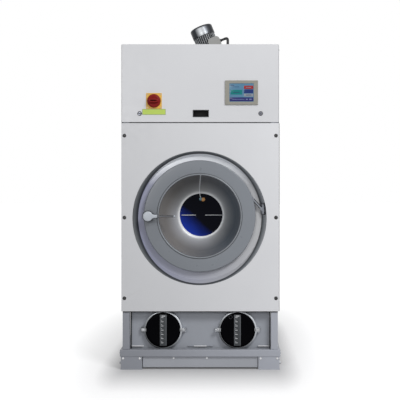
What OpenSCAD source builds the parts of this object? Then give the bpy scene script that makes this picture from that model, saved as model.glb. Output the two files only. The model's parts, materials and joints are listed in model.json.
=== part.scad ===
// Dry cleaning machine with a front-loading drum, a hatch with the controls above it
// and two solvent tanks with round access covers below it.
// X runs to the right, Y from the front to the back, Z up. The floor is at Z 0.

/* [Cabinet] */
// Width over the side panels
body_w = 970; // [970:5:1100]
// Height of the top panel above the floor
body_h = 2000; // [1960:10:2200]
// Depth from the front face to the rear face
body_d = 1500; // [1480:10:1800]
// Thickness of the painted sheet
sheet_t = 2; // [1.5:0.5:3]
// Height of the joint between the lower front panel and the hatch
split_z = 1518; // [1490:2:1540]
// Gap between the lower front panel and the hatch
split_gap = 6; // [4:1:10]
// Gap between the polished rings and the panel above them
skirt_gap = 2; // [1:1:8]
// Depth of the folded edges of the front panels
fold_d = 14; // [8:1:18]
// How far handles stand out in front, and pipe stubs at the back
reach = 40; // [38:1:60]

/* [Base] */
// Height of the feet
foot_h = 79; // [60:1:100]
// Width of a foot
foot_w = 134; // [100:2:160]
// Depth of a foot
foot_d = 150; // [120:5:200]
// Plate thickness of the feet
foot_t = 6; // [4:1:8]
// Radius of the anchor hole in each foot
anchor_r = 7; // [5:0.5:9]
// Height of the base beams
beam_h = 43; // [36:1:43]
// Depth of the base beams
beam_d = 40; // [35:1:40]
// How far the base stands out past the side panels
beam_proud = 8.5; // [4:0.5:12]
// How far the front beam stands in front of the cabinet
beam_front = 5; // [2:1:8]
// Width of the square posts
post_w = 43; // [35:1:43]
// Wall of the square posts
post_t = 4; // [2:0.5:6]
// Radius of the bolt heads under the beam
bolt_r = 8; // [6:0.5:9]
// How far those bolt heads stand out
bolt_head = 4; // [3:0.5:5]

/* [Loading door] */
// Side offset of the door
door_x = -4; // [-5:1:5]
// Height of the drum and door axis
door_z = 943; // [938:1:948]
// How far the centre of the dished surround lies below the door's axis
surround_drop = 12; // [8:1:16]
// Distance from the surround's edge to the side of the cabinet
surround_side = 75; // [70:1:80]
// How much smaller the surround's floor is than its edge, in radius
surround_slope = 28; // [24:1:32]
// Depth of the surround
surround_d = 45; // [44:1:50]
// Wall of the surround
surround_t = 3; // [2:0.5:4]
// How much larger the loading mouth is than the bead, in radius
mouth_gap = 5; // [3:1:9]
// Width of the channel between the surround and the door disc
channel_w = 37; // [33:1:42]
// Width of the door disc from its outer edge to the bead
disc_w = 88; // [84:1:95]
// Depth of the door disc's front behind the cabinet face
disc_y = 8; // [6:1:9]
// Depth of the door disc
disc_d = 32; // [30:1:33]
// Wall of the door disc
disc_t = 3; // [2:0.5:4]
// Radius of the disc's rounded outer edge
disc_edge = 7; // [4:1:9]
// Radius of the bead's section
bead_t = 6; // [4:0.5:7]
// Depth of the funnel
funnel_d = 250; // [220:5:260]
// Radius of the sight glass that shows
glass_r = 138; // [120:1:150]
// Thickness of the sight glass
glass_t = 10; // [6:1:14]

/* [Door hinge] */
// Distance of the hinge pin from the surround's edge
pin_inset = 18; // [16:1:20]
// Depth of the hinge pin behind the cabinet face
pin_y = 25; // [24:1:27]
// Height of the hinge knuckle above the door's axis
pin_rise = 44; // [41:1:47]
// Radius of the hinge pin
pin_r = 5; // [3:0.5:6]
// Outer radius of the hinge knuckles
knuckle_r = 9; // [8:0.5:9.5]
// Height of the moving knuckle
knuckle_h = 50; // [46:1:54]
// Thickness of the bracket's ears
ear_t = 7; // [5:0.5:8]
// Width of the hinge arm
arm_w = 16; // [12:1:18]

/* [Door handle] */
// Distance of the handle's boss from the door disc's edge
handle_inset = 30.5; // [25:0.5:40]
// Radius of the boss
boss_r = 31; // [24:1:34]
// Thickness of the boss
boss_t = 12; // [8:1:14]
// Distance from the boss to the end of the grip rod
grip_len = 166; // [140:2:180]
// Radius of the grip rod
grip_r = 7; // [5:0.5:8]

/* [Drum] */
// Distance from the outer drum to the side of the cabinet
tub_side = 55; // [55:1:65]
// Depth of the outer drum
tub_d = 525; // [500:5:530]
// Wall of the outer drum
tub_t = 5; // [3:1:6]
// Depth of the outer drum's front behind the cabinet face
tub_y = 130; // [125:1:140]
// Gap between the two drums round their sides
drum_gap = 40; // [30:5:60]
// Wall of the cleaning drum
cage_t = 2.5; // [2:0.5:4]
// Gap between the two drums at the front
cage_front = 15; // [12:1:25]
// Gap between the two drums at the back
cage_rear = 50; // [45:1:60]
// How much larger the cleaning drum's mouth is than the loading mouth, in radius
cage_mouth_gap = 13; // [8:1:28]
// Number of lifters in the cleaning drum
lifters = 3; // [2:1:4]
// Height of the lifters
lifter_h = 58; // [40:2:64]
// Radius of the drum shaft
shaft_r = 30; // [25:1:35]
// Radius of the drum pulley
pulley_r = 230; // [200:5:240]
// Radius of the motor pulley
pinion_r = 50; // [40:1:60]
// Width of both pulleys
pulley_w = 40; // [32:2:44]
// Thickness of the drive belt
belt_t = 6; // [4:1:8]
// Radius of the drive motor
motor_r = 85; // [75:1:90]
// Length of the drive motor
motor_len = 200; // [180:5:205]

/* [Solvent tanks] */
// Distance of each tank cover's centre from the side of the cabinet
cover_side = 254; // [250:1:256]
// Height of the tank covers' centres above the base beam
cover_rise = 116; // [114:1:120]
// Radius of the black lids
lid_r = 108; // [100:1:109]
// Thickness of the lids
lid_t = 14; // [10:1:16]
// Radial gap between a lid and its ring
lid_gap = 1; // [0.6:0.1:1.5]
// Width of the polished ring
ring_w = 9; // [6:0.5:9]
// Gap between the front beam and the polished rings behind it
ring_gap = 1; // [1:1:3]
// Distance of the recessed panel behind the rings' front
recess_gap = 24; // [22:1:28]
// Distance of a lid's hinge and knob from its ring
lug_gap = 13; // [11:1:15]
// Width of the level strip
strip_w = 42; // [30:1:50]
// Length of the level strip
strip_h = 194; // [170:2:196]
// Thickness of the level strip
strip_t = 8; // [4:1:10]
// Radius of the hand knobs
knob_r = 14; // [10:0.5:14]
// Wall of the solvent tanks
tank_t = 4; // [3:1:6]

/* [Controls] */
// Distance of the main switch from the side of the cabinet
switch_side = 201; // [185:1:205]
// Height of the main switch above the joint
switch_rise = 133; // [132:1:180]
// Side of the switch's square plate
switch_w = 96; // [84:1:96]
// Thickness of the switch's plate
switch_t = 3; // [2:0.5:4]
// Radius of the switch's knob
switch_r = 41; // [34:1:42]
// Distance of the touch screen from the side of the cabinet
screen_side = 231; // [215:1:255]
// Height of the touch screen above the joint
screen_rise = 184; // [172:1:230]
// Width of the screen's bezel
bezel_w = 202; // [190:1:220]
// Height of the screen's bezel
bezel_h = 149; // [140:1:160]
// Thickness of the screen's bezel
bezel_t = 8; // [5:1:12]
// Width of the display
display_w = 149; // [130:1:160]
// Height of the display
display_h = 112; // [100:1:120]
// Gap between the label plate and the switch above it
label_gap = 1.5; // [1:0.5:4]
// Width of the label plate
label_w = 143; // [120:1:144]
// Height of the label plate's sides
label_h = 35; // [25:1:35]
// Height of the locks and the pull recess above the joint
lock_rise = 56; // [54:1:62]
// Distance of the locks from the end of the label plate
lock_gap = 16.5; // [16:0.5:25]
// Radius of the lock faces
lock_r = 14; // [10:0.5:14]
// Width of the pull recess
pull_w = 98; // [80:1:110]
// Height of the pull recess
pull_h = 44; // [36:1:46]
// Depth of the pull recess
pull_d = 24; // [18:1:28]

/* [Fan] */
// Side offset of the fan motor's cowl
fan_x = 0; // [-10:1:10]
// Depth of the fan motor behind the cabinet face
fan_y = 700; // [690:5:710]
// Height of the fan cowl's lower edge above the top panel
fan_rise = 178; // [172:1:184]
// Tilt of the fan motor
fan_tilt = 22; // [18:1:24]
// Radius of the fan cowl
cowl_r = 79; // [78:1:84]
// Length of the fan cowl
cowl_len = 68; // [60:1:76]
// Radius of the motor body without its fins
fan_body_r = 66; // [60:1:68]
// Length of the motor body
fan_body_len = 150; // [140:2:160]
// Number of cooling fins
fins = 32; // [24:1:36]
// Height of the cooling fins
fin_h = 10; // [6:1:11]
// Radius of the fan housing
scroll_r = 190; // [180:1:192]
// Length of the fan housing
scroll_len = 150; // [140:2:156]
// Side of the terminal box
box_w = 82; // [70:1:84]
// Outer radius of the conduit over its ribs
hose_r = 9; // [8:0.5:10]
// Bore radius of the conduit
hose_bore = 5.5; // [4:0.5:6]
// Number of ribs on the conduit
hose_ribs = 42; // [20:1:50]

/* [Clearances] */
// Gap of parts that turn in each other
run = 0.05; // [0.03:0.01:0.08]
// Gap of parts that lie against each other
seat = 0.3; // [0.1:0.05:0.4]

/* [Hidden] */
$fn = 96;
eps = 1;
face_y = -body_d / 2;
half_w = body_w / 2;
beam_top = foot_h + beam_h;
base_half = half_w + beam_proud;
side_beam_w = 47;
surround_z = door_z - surround_drop;
surround_r = half_w - surround_side;
surround_lip = 18;
floor_r = surround_r - surround_slope;
disc_r = floor_r - channel_w;
bead_r = disc_r - disc_w;
mouth_r = bead_r + mouth_gap;
pin_x = surround_r - pin_inset;
pin_z = door_z + pin_rise;
handle_x = disc_r - handle_inset;
tub_r = half_w - tub_side;
cage_r = tub_r - drum_gap;
cage_mouth_r = mouth_r + cage_mouth_gap;
neck_r = lid_r + lid_gap + ring_w;
lug_r = neck_r + lug_gap;
cover_x = half_w - cover_side;
cover_z = beam_top + cover_rise;
skirt_z = cover_z + neck_r + skirt_gap;
ring_y = beam_d - beam_front + ring_gap;
recess_y = ring_y + recess_gap;
switch_x = switch_side - half_w;
switch_z = split_z + switch_rise;
screen_x = half_w - screen_side;
screen_z = split_z + screen_rise;
label_z = switch_z - switch_w / 2 - label_gap - label_h / 2;
lock_z = split_z + lock_rise;
lock_x = label_w / 2 + lock_gap - switch_x;
post_x = half_w - 7;
post_y = 6;
post_top = body_h - 45;
deck_z = skirt_z - 8;
hinge_y = 30;
hinge_r = 5;
hinge_pin_r = 3;
tub_back = tub_y + tub_d;
cage_y = tub_y + tub_t + cage_front;
cage_back = tub_back - tub_t - cage_rear;
bearing_len = 160;
bearing_y = tub_back + seat;
pulley_y = bearing_y + bearing_len + 25;
drive_x = 235 - half_w;
drive_z = deck_z + 130;
drive_y = pulley_y + pulley_w + 20;
still_r = 150;
still_y = body_d - 60 - still_r;
still_x = [drive_x + motor_r + 25, 130];
filter_r = 90;
filter_x = half_w - 185;
compressor_r = 90;
tank_y = recess_y + sheet_t + 2 + seat;
rail_z = split_z - 18;
rail_y = 30;
flange_r = 95;
flange_t = 8;
scroll_top = -fan_body_len - flange_t;
top_rail_y = [fan_y - scroll_r - 10 - post_w, fan_y + scroll_r + 10];
// The opening in the top panel that the tilted fan housing stands in, from left to right
// and from front to back, and how far the housing's plate laps over it.
scroll_x = fan_x - scroll_top * sin(fan_tilt);
scroll_rise = fan_rise + scroll_top * cos(fan_tilt);
scroll_gap = 20;
scroll_cut_x = [scroll_x - scroll_rise / tan(fan_tilt) - scroll_gap,
    scroll_x + scroll_r * cos(fan_tilt)
        + (scroll_rise + scroll_r * sin(fan_tilt)) * tan(fan_tilt) + scroll_gap];
scroll_cut_y = [fan_y - scroll_r - 5, fan_y + scroll_r + 5];
plate_lap = 15;
inlet_r = 92;
inlet_len = 100;
gland_y = fan_y - 260;
gland_x = fan_x + 166;
duct_x = [fan_x - 120, fan_x + 280];
duct_y = [fan_y - 200, fan_y + 180];
box_x = 47;
box_z = -90;
box_back = 40;
box_front = 130;

// ---- Shared shapes ----

// Moves a part that is drawn from the cabinet's front face to its place.
module from_face() translate([0, face_y, 0]) children();

// A box between two corners, given as ranges in X, Y and Z.
module block(x, y, z)
    translate([x[0], y[0], z[0]]) cube([x[1] - x[0], y[1] - y[0], z[1] - z[0]]);

// A closed box of sheet with walls of thickness t.
module hollow_block(x, y, z, t) difference() {
    block(x, y, z);
    block([x[0] + t, x[1] - t], [y[0] + t, y[1] - t], [z[0] + t, z[1] - t]);
}

// Round bars along Y, X and Z.
module bar_y(r, y) translate([0, y[0], 0]) rotate([-90, 0, 0]) cylinder(r = r, h = y[1] - y[0]);
module bar_x(r, x) translate([x[0], 0, 0]) rotate([0, 90, 0]) cylinder(r = r, h = x[1] - x[0]);
module bar_z(r, z) translate([0, 0, z[0]]) cylinder(r = r, h = z[1] - z[0]);

// A tube along Y.
module tube_y(r, bore, y) difference() {
    bar_y(r, y);
    bar_y(bore, [y[0] - eps, y[1] + eps]);
}

// A body of revolution around Y from points [radius, depth].
module turned(points) rotate([-90, 0, 0]) rotate_extrude() polygon(points);

// Places children on the door's axis, or on the middle of its surround.
module at_door() from_face() translate([door_x, 0, door_z]) children();
module at_surround() from_face() translate([door_x, 0, surround_z]) children();

// Repeats children on both sides, mirrored.
module both_sides() {
    children();
    mirror([1, 0, 0]) children();
}

// ---- Base ----

module base_frame() color("#868990") from_face() {
    z = [foot_h, beam_top];
    back = body_d - beam_d;
    inner = base_half - side_beam_w;
    block([-base_half, base_half], [-beam_front, beam_d - beam_front], z);
    block([-base_half, base_half], [back, body_d], z);
    both_sides() block([inner, base_half], [beam_d - beam_front + seat, back - seat], z);
    for (y = [body_d / 3, 2 * body_d / 3])
        block([-inner + seat, inner - seat], [y, y + beam_d], z);
}

// A folded plate foot with its plate, front wall and two cheeks.
module foot() difference() {
    union() {
        block([-foot_w / 2, foot_w / 2], [0, foot_d], [0, foot_t]);
        block([-foot_w / 2 + 2, foot_w / 2 - 2], [1, foot_t], [0, foot_h]);
        for (x = [-foot_w / 2 + 2, foot_w / 2 - 2 - foot_t])
            block([x, x + foot_t], [1, foot_d - 4], [0, foot_h]);
    }
    translate([0, foot_d / 2, 0]) bar_z(anchor_r, [-eps, foot_t + eps]);
}

module feet() color("#80848c") from_face() both_sides() {
    x = base_half - 4 - foot_w / 2;
    translate([x, -3, 0]) foot();
    translate([x, body_d, 0]) mirror([0, 1, 0]) foot();
}

module kick_plate() color("#989aa0") from_face() {
    x = base_half - 4 - foot_w - 2;
    block([-x, x], [10, 10 + sheet_t], [foot_t * 2, foot_h]);
    block([-x, x], [10 + sheet_t, 30], [foot_h - sheet_t, foot_h]);
}

module base_bolts() color("#5a5c60") from_face() {
    both_sides() {
        for (x = [base_half - 4 - foot_w + 16, base_half - 20])
            translate([x, 0, foot_h - 10]) bar_y(bolt_r, [-2 - bolt_head, -2]);
        for (z = [foot_h / 2, foot_h + beam_h / 2])
            translate([0, 20, z]) bar_x(bolt_r, z < foot_h
                ? [base_half - 6, base_half + bolt_head] : [base_half, base_half + bolt_head]);
    }
    for (x = [-164, 41])
        translate([x, 0, foot_h - 10]) bar_y(bolt_r, [10 - bolt_head, 10]);
    translate([-8, 0, beam_top + 6]) bar_y(5, [recess_y - 6, recess_y]);
}

// ---- Cabinet ----

// A square post with a hollow section.
module post(y) difference() {
    block([post_x - post_w, post_x], [y, y + post_w], [beam_top, post_top]);
    block([post_x - post_w + post_t, post_x - post_t], [y + post_t, y + post_w - post_t],
        [beam_top - eps, post_top + eps]);
}

// A plate across the cabinet with a round seat for the outer drum.
module drum_saddle(y) difference() {
    x = tub_r - 130;
    block([door_x - x, door_x + x], [y, y + 20], [deck_z + seat, door_z - tub_r + 100]);
    translate([door_x, 0, door_z]) bar_y(tub_r + seat, [y - eps, y + 20 + eps]);
}

// A bracket whose upturned lip holds a lock's cam.
module keeper(x) translate([x, 0, 0]) {
    plate_z = rail_z + 30 + seat;
    block([-15, 15], [14, rail_y + 20], [plate_z, plate_z + 3]);
    block([-15, 15], [14, 17], [plate_z + 3 + seat, lock_z - 18]);
}

module body_frame() color("#74777d") from_face() {
    back = body_d - sheet_t - 6 - post_w;
    both_sides() {
        post(post_y);
        post(back);
        block([post_x - post_w, post_x], [post_y, back + post_w], [post_top + seat, body_h - sheet_t]);
    }
    inner = post_x - post_w - seat;
    for (y = [post_y + post_w, top_rail_y[0], top_rail_y[1], back])
        block([-inner, inner], [y, y + post_w], [post_top + seat, body_h - sheet_t]);
    block([-inner, inner], [rail_y, rail_y + 40], [rail_z, rail_z + 30]);
    keeper(-lock_x);
    keeper(lock_x);
    drum_saddle(tub_y + 60);
    drum_saddle(tub_back - 80);
}

module side_panel() block([half_w - sheet_t, half_w], [sheet_t, body_d - sheet_t],
    [skirt_z, body_h - sheet_t]);

module left_side_panel() color("#d4d8e0") from_face() mirror([1, 0, 0]) side_panel();
module right_side_panel() color("#dadada") from_face() side_panel();

module rear_panel() color("#cfd1d4") from_face() difference() {
    block([-half_w, half_w], [body_d - sheet_t, body_d], [beam_top, body_h - sheet_t]);
    for (x = [-300, -90, 120], z = [body_h - 500 : 30 : body_h - 260])
        block([x, x + 180], [body_d - sheet_t - eps, body_d + eps], [z, z + 10]);
    for (x = pipe_xs)
        translate([x, 0, pipe_z]) bar_y(pipe_r + 2, [body_d - sheet_t - eps, body_d + eps]);
}

module top_panel() color("#d8dadd") from_face() difference() {
    block([-half_w, half_w], [hinge_y + hinge_r + 1, body_d], [body_h - sheet_t, body_h]);
    block(scroll_cut_x, scroll_cut_y, [body_h - sheet_t - eps, body_h + eps]);
    translate([gland_x, gland_y, 0]) bar_z(gland_stem_r + seat, [body_h - 10, body_h + 10]);
}

module lower_front_panel() color("#d2d2d2") from_face() {
    top = split_z - split_gap / 2;
    difference() {
        block([-half_w, half_w], [0, sheet_t], [skirt_z, top]);
        translate([door_x, 0, surround_z]) bar_y(surround_r + 2.5, [-eps, sheet_t + eps]);
        for (x = [-screw_x, screw_x], z = screw_zs)
            translate([x, 0, z]) bar_y(screw_r + 0.1, [-eps, sheet_t + eps]);
    }
    for (z = [skirt_z, top - sheet_t])
        block([-half_w + sheet_t + seat, half_w - sheet_t - seat], [sheet_t, post_y - seat],
            [z, z + sheet_t]);
}

screw_x = half_w - 19;
screw_r = 4;
screw_zs = [skirt_z + 80, surround_z + 3, split_z - 80];

module panel_screws() color("#1a1a1c") from_face()
    for (x = [-screw_x, screw_x], z = screw_zs) translate([x, 0, z]) {
        turned([[0, -4], [6, -4], [9, -2.6], [10, -seat], [10, 0], [0, 0]]);
        bar_y(screw_r, [0, post_y - seat]);
    }

// ---- Loading door surround and hinge bracket ----

// The pocket that the hinge stands in.
module hinge_pocket() translate([door_x + pin_x, 0, pin_z])
    block([-knuckle_r - 6, knuckle_r + 6], [-eps, surround_d + surround_t + eps],
        [-knuckle_h / 2 - ear_t - 5, knuckle_h / 2 + ear_t + 5]);

module door_surround() color("#9aa0ad") difference() {
    at_surround() turned([[surround_r, 0], [floor_r, surround_d], [0, surround_d],
        [0, surround_d + surround_t], [floor_r + 1.6, surround_d + surround_t],
        [surround_r + 0.4, sheet_t + surround_t],
        [surround_r + surround_lip, sheet_t + surround_t],
        [surround_r + surround_lip, sheet_t], [surround_r + 2, sheet_t], [surround_r + 2, 0]]);
    at_door() bar_y(mouth_r, [0, surround_d + surround_t + eps]);
    from_face() hinge_pocket();
}

// Two ears on a back plate with the hinge pin through them.
module door_hinge_bracket() color("#6e7178") from_face() translate([door_x + pin_x, 0, pin_z]) {
    z = knuckle_h / 2 + 0.5;
    back = surround_d + surround_t;
    block([-knuckle_r - 13, knuckle_r + 13], [back + seat, back + 6],
        [-z - ear_t - 12, z + ear_t + 12]);
    for (s = [-z - ear_t, z]) {
        translate([0, pin_y, 0]) bar_z(knuckle_r, [s, s + ear_t]);
        block([-knuckle_r, knuckle_r], [pin_y, back + 3], [s, s + ear_t]);
    }
    translate([0, pin_y, 0]) bar_z(pin_r, [-z - ear_t, z + ear_t]);
}

// ---- Outer drum and drive ----

module outer_drum() color("#8e949c") at_door() {
    flange = surround_d + surround_t + seat;
    turned([[mouth_r, flange], [mouth_r + 38, flange], [mouth_r + 38, flange + 4],
        [mouth_r + 4, flange + 4], [mouth_r + 4, tub_y - seat], [mouth_r, tub_y - seat]]);
    tube_y(tub_r, mouth_r, [tub_y, tub_y + tub_t]);
    tube_y(tub_r, tub_r - tub_t, [tub_y + tub_t + seat, tub_back - tub_t - seat]);
    tube_y(tub_r, shaft_r + 10, [tub_back - tub_t, tub_back]);
}

module bearing_housing() color("#5f6a78") at_door() difference() {
    turned([[0, bearing_y], [140, bearing_y], [140, bearing_y + 15], [70, bearing_y + 30],
        [62, bearing_y + bearing_len], [0, bearing_y + bearing_len]]);
    bar_y(shaft_r + run, [bearing_y - eps, bearing_y + bearing_len + eps]);
}

// Places children on the drive motor's axis.
module at_motor() from_face() translate([drive_x, 0, drive_z]) children();

module drive_motor() color("#3f5f80") at_motor() difference() {
    union() {
        bar_y(motor_r, [drive_y, drive_y + motor_len]);
        block([-motor_r, motor_r], [drive_y + 20, drive_y + motor_len - 20],
            [deck_z + seat - drive_z, -motor_r / 2]);
    }
    bar_y(14 + run, [drive_y - eps, drive_y + 31]);
}

module motor_pulley() color("#8a8d92") at_motor() {
    bar_y(pinion_r, [pulley_y, pulley_y + pulley_w]);
    bar_y(14, [pulley_y + pulley_w, drive_y + 30]);
}

// The outline around both pulleys, at distance g from them, in steps of 3 degrees.
belt_gap = [drive_x - door_x, drive_z - door_z];
belt_turn = atan2(belt_gap[1], belt_gap[0]);
belt_lean = acos((pulley_r - pinion_r) / norm(belt_gap));
function belt_arc(middle, r, from, to) = let (n = ceil((to - from) / 3))
    [for (i = [0 : n]) let (a = from + (to - from) * i / n) middle + r * [cos(a), sin(a)]];
function belt_outline(g) = concat(
    belt_arc([0, 0], pulley_r + g, belt_turn + belt_lean, belt_turn + 360 - belt_lean),
    belt_arc(belt_gap, pinion_r + g, belt_turn - belt_lean, belt_turn + belt_lean));

module drive_belt() color("#202022") at_door()
    translate([0, pulley_y + pulley_w - 5, 0]) rotate([90, 0, 0])
        linear_extrude(pulley_w - 10) difference() {
            polygon(belt_outline(seat + belt_t));
            polygon(belt_outline(seat));
        }

module drum_pulley() color("#6c6f74") at_door() turned([[shaft_r + 0.02, pulley_y - 10],
    [shaft_r + 30, pulley_y - 10], [shaft_r + 30, pulley_y + 14],
    [pulley_r - 16, pulley_y + 14], [pulley_r - 16, pulley_y], [pulley_r, pulley_y],
    [pulley_r, pulley_y + pulley_w], [pulley_r - 16, pulley_y + pulley_w],
    [pulley_r - 16, pulley_y + 24], [shaft_r + 30, pulley_y + 24],
    [shaft_r + 30, pulley_y + pulley_w], [shaft_r + 0.02, pulley_y + pulley_w]]);

module drum_shaft() color("#a8abb0") at_door() {
    bar_y(90, [cage_back, cage_back + 12]);
    bar_y(shaft_r, [cage_back + 12, pulley_y + pulley_w + 5]);
}

module drum_cage() color("#b8bcc2") at_door() {
    inside = [cage_y + cage_t + seat, cage_back - cage_t - seat];
    tube_y(cage_r, cage_mouth_r, [cage_y, cage_y + cage_t]);
    tube_y(cage_r, cage_r - cage_t, inside);
    bar_y(cage_r, [cage_back - cage_t, cage_back]);
    for (i = [0 : lifters - 1]) rotate([0, 60 + i * 360 / lifters, 0])
        block([cage_r - lifter_h, cage_r - 10], inside, [-26, 26]);
    for (a = [0 : 90 : 270]) rotate([0, a, 0])
        block([40, cage_r - lifter_h - 10], [inside[1] - 12, inside[1]], [-4, 4]);
}

// ---- Solvent side ----

// Places children on the left (-1) or right (1) tank cover, with +X towards its hinge.
module at_cover(side) from_face() translate([side * cover_x, 0, cover_z])
    mirror([side < 0 ? 1 : 0, 0, 0]) children();

module recess_panel() color("#8e929b") from_face() {
    x = post_x - post_w - 7;
    difference() {
        block([-x, x], [recess_y, recess_y + sheet_t], [beam_top - 22, skirt_z - seat]);
        for (s = [-1, 1]) translate([s * cover_x, 0, cover_z])
            bar_y(neck_r + seat, [recess_y - eps, recess_y + sheet_t + eps]);
    }
    for (e = [[-x, -cover_x - neck_r - 8], [-78, 78], [cover_x + neck_r + 8, x]])
        block(e, [recess_y - 10, recess_y], [beam_top + 12, beam_top + 15]);
}

module solvent_tanks() color("#7d828a") from_face() both_sides() difference() {
    hollow_block([4, post_x - post_w - 5], [tank_y, body_d - 60], [beam_top + seat, deck_z], tank_t);
    translate([cover_x, 0, cover_z]) bar_y(lid_r - 10, [tank_y - eps, tank_y + tank_t + eps]);
}

// A neck with its polished ring and hinge ears at the outer lug, and a fork of two prongs
// that the knob's screw swings into at the inner lug.
module cover_neck(side) at_cover(side) {
    back = recess_y + sheet_t + 2;
    step = ring_y + lid_t - 5;
    turned([[lid_r + lid_gap, ring_y], [neck_r, ring_y], [neck_r, back], [lid_r - 10, back],
        [lid_r - 10, step], [lid_r + lid_gap, step]]);
    for (z = [-15, lug_h]) {
        translate([lug_r, lug_y, 0]) bar_z(lug_knuckle, [z, z + 15 - lug_h]);
        block([neck_r - 5, lug_r + lug_knuckle], [lug_y, recess_y], [z, z + 15 - lug_h]);
    }
    translate([lug_r, lug_y, 0]) bar_z(3, [-15, 15]);
    for (z = [-12, screw_r + 1.2])
        block([-lug_r - 9, -neck_r - seat], [ring_y, recess_y - seat], [z, z + 10.8 - screw_r]);
}

lug_y = ring_y + 3;
lug_h = 9.5;
lug_knuckle = 6;

module cover_necks() color("#c4c6c9") {
    cover_neck(-1);
    cover_neck(1);
}

// A black lid with its hinge knuckle and the ear for its hand knob.
module tank_lid(side) at_cover(side) {
    front = ring_y - 6;
    difference() {
        union() {
            bar_y(lid_r, [front, front + lid_t]);
            block([0, lug_r], [front, ring_y - 0.5], [-lug_h + 0.5, lug_h - 0.5]);
            translate([lug_r, lug_y, 0]) bar_z(lug_knuckle, [-lug_h + 0.5, lug_h - 0.5]);
            block([-lug_r, 0], [front, ring_y - 0.5], [-10, 10]);
            translate([-lug_r, 0, 0]) bar_y(12, [front, ring_y - 0.5]);
        }
        translate([lug_r, lug_y, 0]) bar_z(3 + run, [-lug_h, lug_h]);
        translate([-lug_r, 0, 0]) bar_y(screw_r + run, [front - eps, ring_y]);
    }
}

module level_window(side) at_cover(side)
    block([-strip_w / 2 - 2, strip_w / 2 - 2], [ring_y - 6 - strip_t, ring_y - 6],
        [-strip_h / 2, strip_h / 2]);

// A three-lobed hand knob on a short screw.
module cover_knob(side) at_cover(side) translate([-lug_r, 0, 0]) {
    front = ring_y - 6 - seat;
    bar_y(screw_r, [front, ring_y + 10]);
    bar_y(knob_r - 5, [front - 14, front]);
    for (a = [0 : 120 : 240]) rotate([0, a, 0]) translate([knob_r - 5, 0, 0])
        bar_y(4.5, [front - 12, front - 2]);
}

module tank_lid_left() color("#0e0f10") tank_lid(-1);
module tank_lid_right() color("#0e0f10") tank_lid(1);
module level_window_left() color("#8f9498") level_window(-1);
module level_window_right() color("#8f9498") level_window(1);
module cover_knob_left() color("#76797e") cover_knob(-1);
module cover_knob_right() color("#76797e") cover_knob(1);

// The pump stands in front of the still.
module solvent_pump() color("#4a6a54") from_face() {
    back = still_y - still_r - 40;
    translate([40, 0, deck_z + 75]) {
        bar_y(60, [back - 120, back]);
        bar_y(42, [back - 160, back - 120]);
    }
    block([-10, 90], [back - 110, back - 10], [deck_z + seat, deck_z + 60]);
}

// The filter stands behind the drum pulley.
module solvent_filter() color("#9a9ea4") from_face()
    translate([filter_x, pulley_y + pulley_w + filter_r + 20, 0]) {
        bar_z(filter_r, [deck_z + seat, deck_z + 600]);
        bar_z(filter_r + 10, [deck_z + 600, deck_z + 620]);
        bar_z(filter_r / 3, [deck_z + 620, deck_z + 650]);
    }

module still() color("#a2a6ab") from_face() {
    translate([0, still_y, deck_z + still_r + 30]) bar_x(still_r, still_x);
    for (x = [still_x[0] + 40, still_x[1] - 60])
        block([x, x + 20], [still_y - still_r + 50, still_y + still_r - 50],
            [deck_z + seat, deck_z + 80]);
}

module compressor() color("#1f2224") from_face()
    translate([filter_x, body_d - 60 - compressor_r, 0]) {
        bar_z(compressor_r, [deck_z + seat, deck_z + 230]);
        bar_z(compressor_r - 30, [deck_z + 230, deck_z + 255]);
    }

// ---- Air circuit ----

module air_duct() color("#9aa3ad") from_face() difference() {
    union() {
        block([door_x - 150, door_x + 150], [250, 560], [door_z + tub_r - 60, body_h - 330]);
        block(duct_x, duct_y, [body_h - 430, body_h - 210]);
    }
    block([door_x - 147, door_x + 147], [253, 557], [door_z + 100, body_h - 333]);
    block(duct_x + [3, -3], duct_y + [3, -3], [body_h - 427, body_h - 213]);
    translate([door_x, 0, door_z]) bar_y(tub_r + seat, [200, 900]);
    translate([fan_x + 160, fan_y, 0]) bar_z(inlet_r + 20, [body_h - 215, body_h - 205]);
}

// Places children in the tilted frame of the fan, with its axis along Z and the
// cowl's lower edge at 0.
module at_fan() from_face() translate([fan_x, fan_y, body_h + fan_rise])
    rotate([0, -fan_tilt, 0]) children();

// A round housing with its inlet neck, fused to the flat plate that lies on the top panel.
module fan_housing() color("#8b9199") difference() {
    t = 4;
    low = scroll_top - scroll_len;
    union() {
        at_fan() {
            bar_z(scroll_r, [low, scroll_top]);
            bar_z(inlet_r, [low - inlet_len, low]);
        }
        from_face() block(scroll_cut_x + [-plate_lap, plate_lap],
            scroll_cut_y + [-plate_lap, plate_lap], [body_h, body_h + sheet_t]);
    }
    at_fan() {
        bar_z(scroll_r - t, [low + t, scroll_top - t]);
        bar_z(inlet_r - t, [low - inlet_len - eps, low + t + eps]);
        bar_z(30, [scroll_top - t - eps, scroll_top + eps]);
        bar_z(flange_r + 2, [scroll_top, scroll_top + 2 * flange_t]);
    }
}

module fan_motor_body() color("#6f7478") at_fan() difference() {
    union() {
        bar_z(flange_r, [scroll_top, scroll_top + flange_t]);
        translate([0, 0, scroll_top + flange_t]) linear_extrude(fan_body_len) {
            circle(fan_body_r);
            for (i = [0 : fins - 1]) rotate(i * 360 / fins)
                translate([fan_body_r - 2, -1.3]) square([fin_h + 2, 2.6]);
        }
    }
    bar_z(12 + run, [scroll_top - eps, scroll_top + 30]);
}

module fan_cowl() color("#2a2c30") at_fan() rotate_extrude()
    polygon(concat([[0, 0], [cowl_r, 0]],
        [for (a = [0 : 15 : 90]) [cowl_r - 14 + 14 * cos(a), cowl_len - 14 + 14 * sin(a)]],
        [[0, cowl_len]]));

// A square with round corners of radius r, made of squares and circles.
module soft_square(w, r) {
    square([w, w - 2 * r], center = true);
    square([w - 2 * r, w], center = true);
    for (x = [-1, 1], y = [-1, 1]) translate([x * (w / 2 - r), y * (w / 2 - r)]) circle(r);
}

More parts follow.
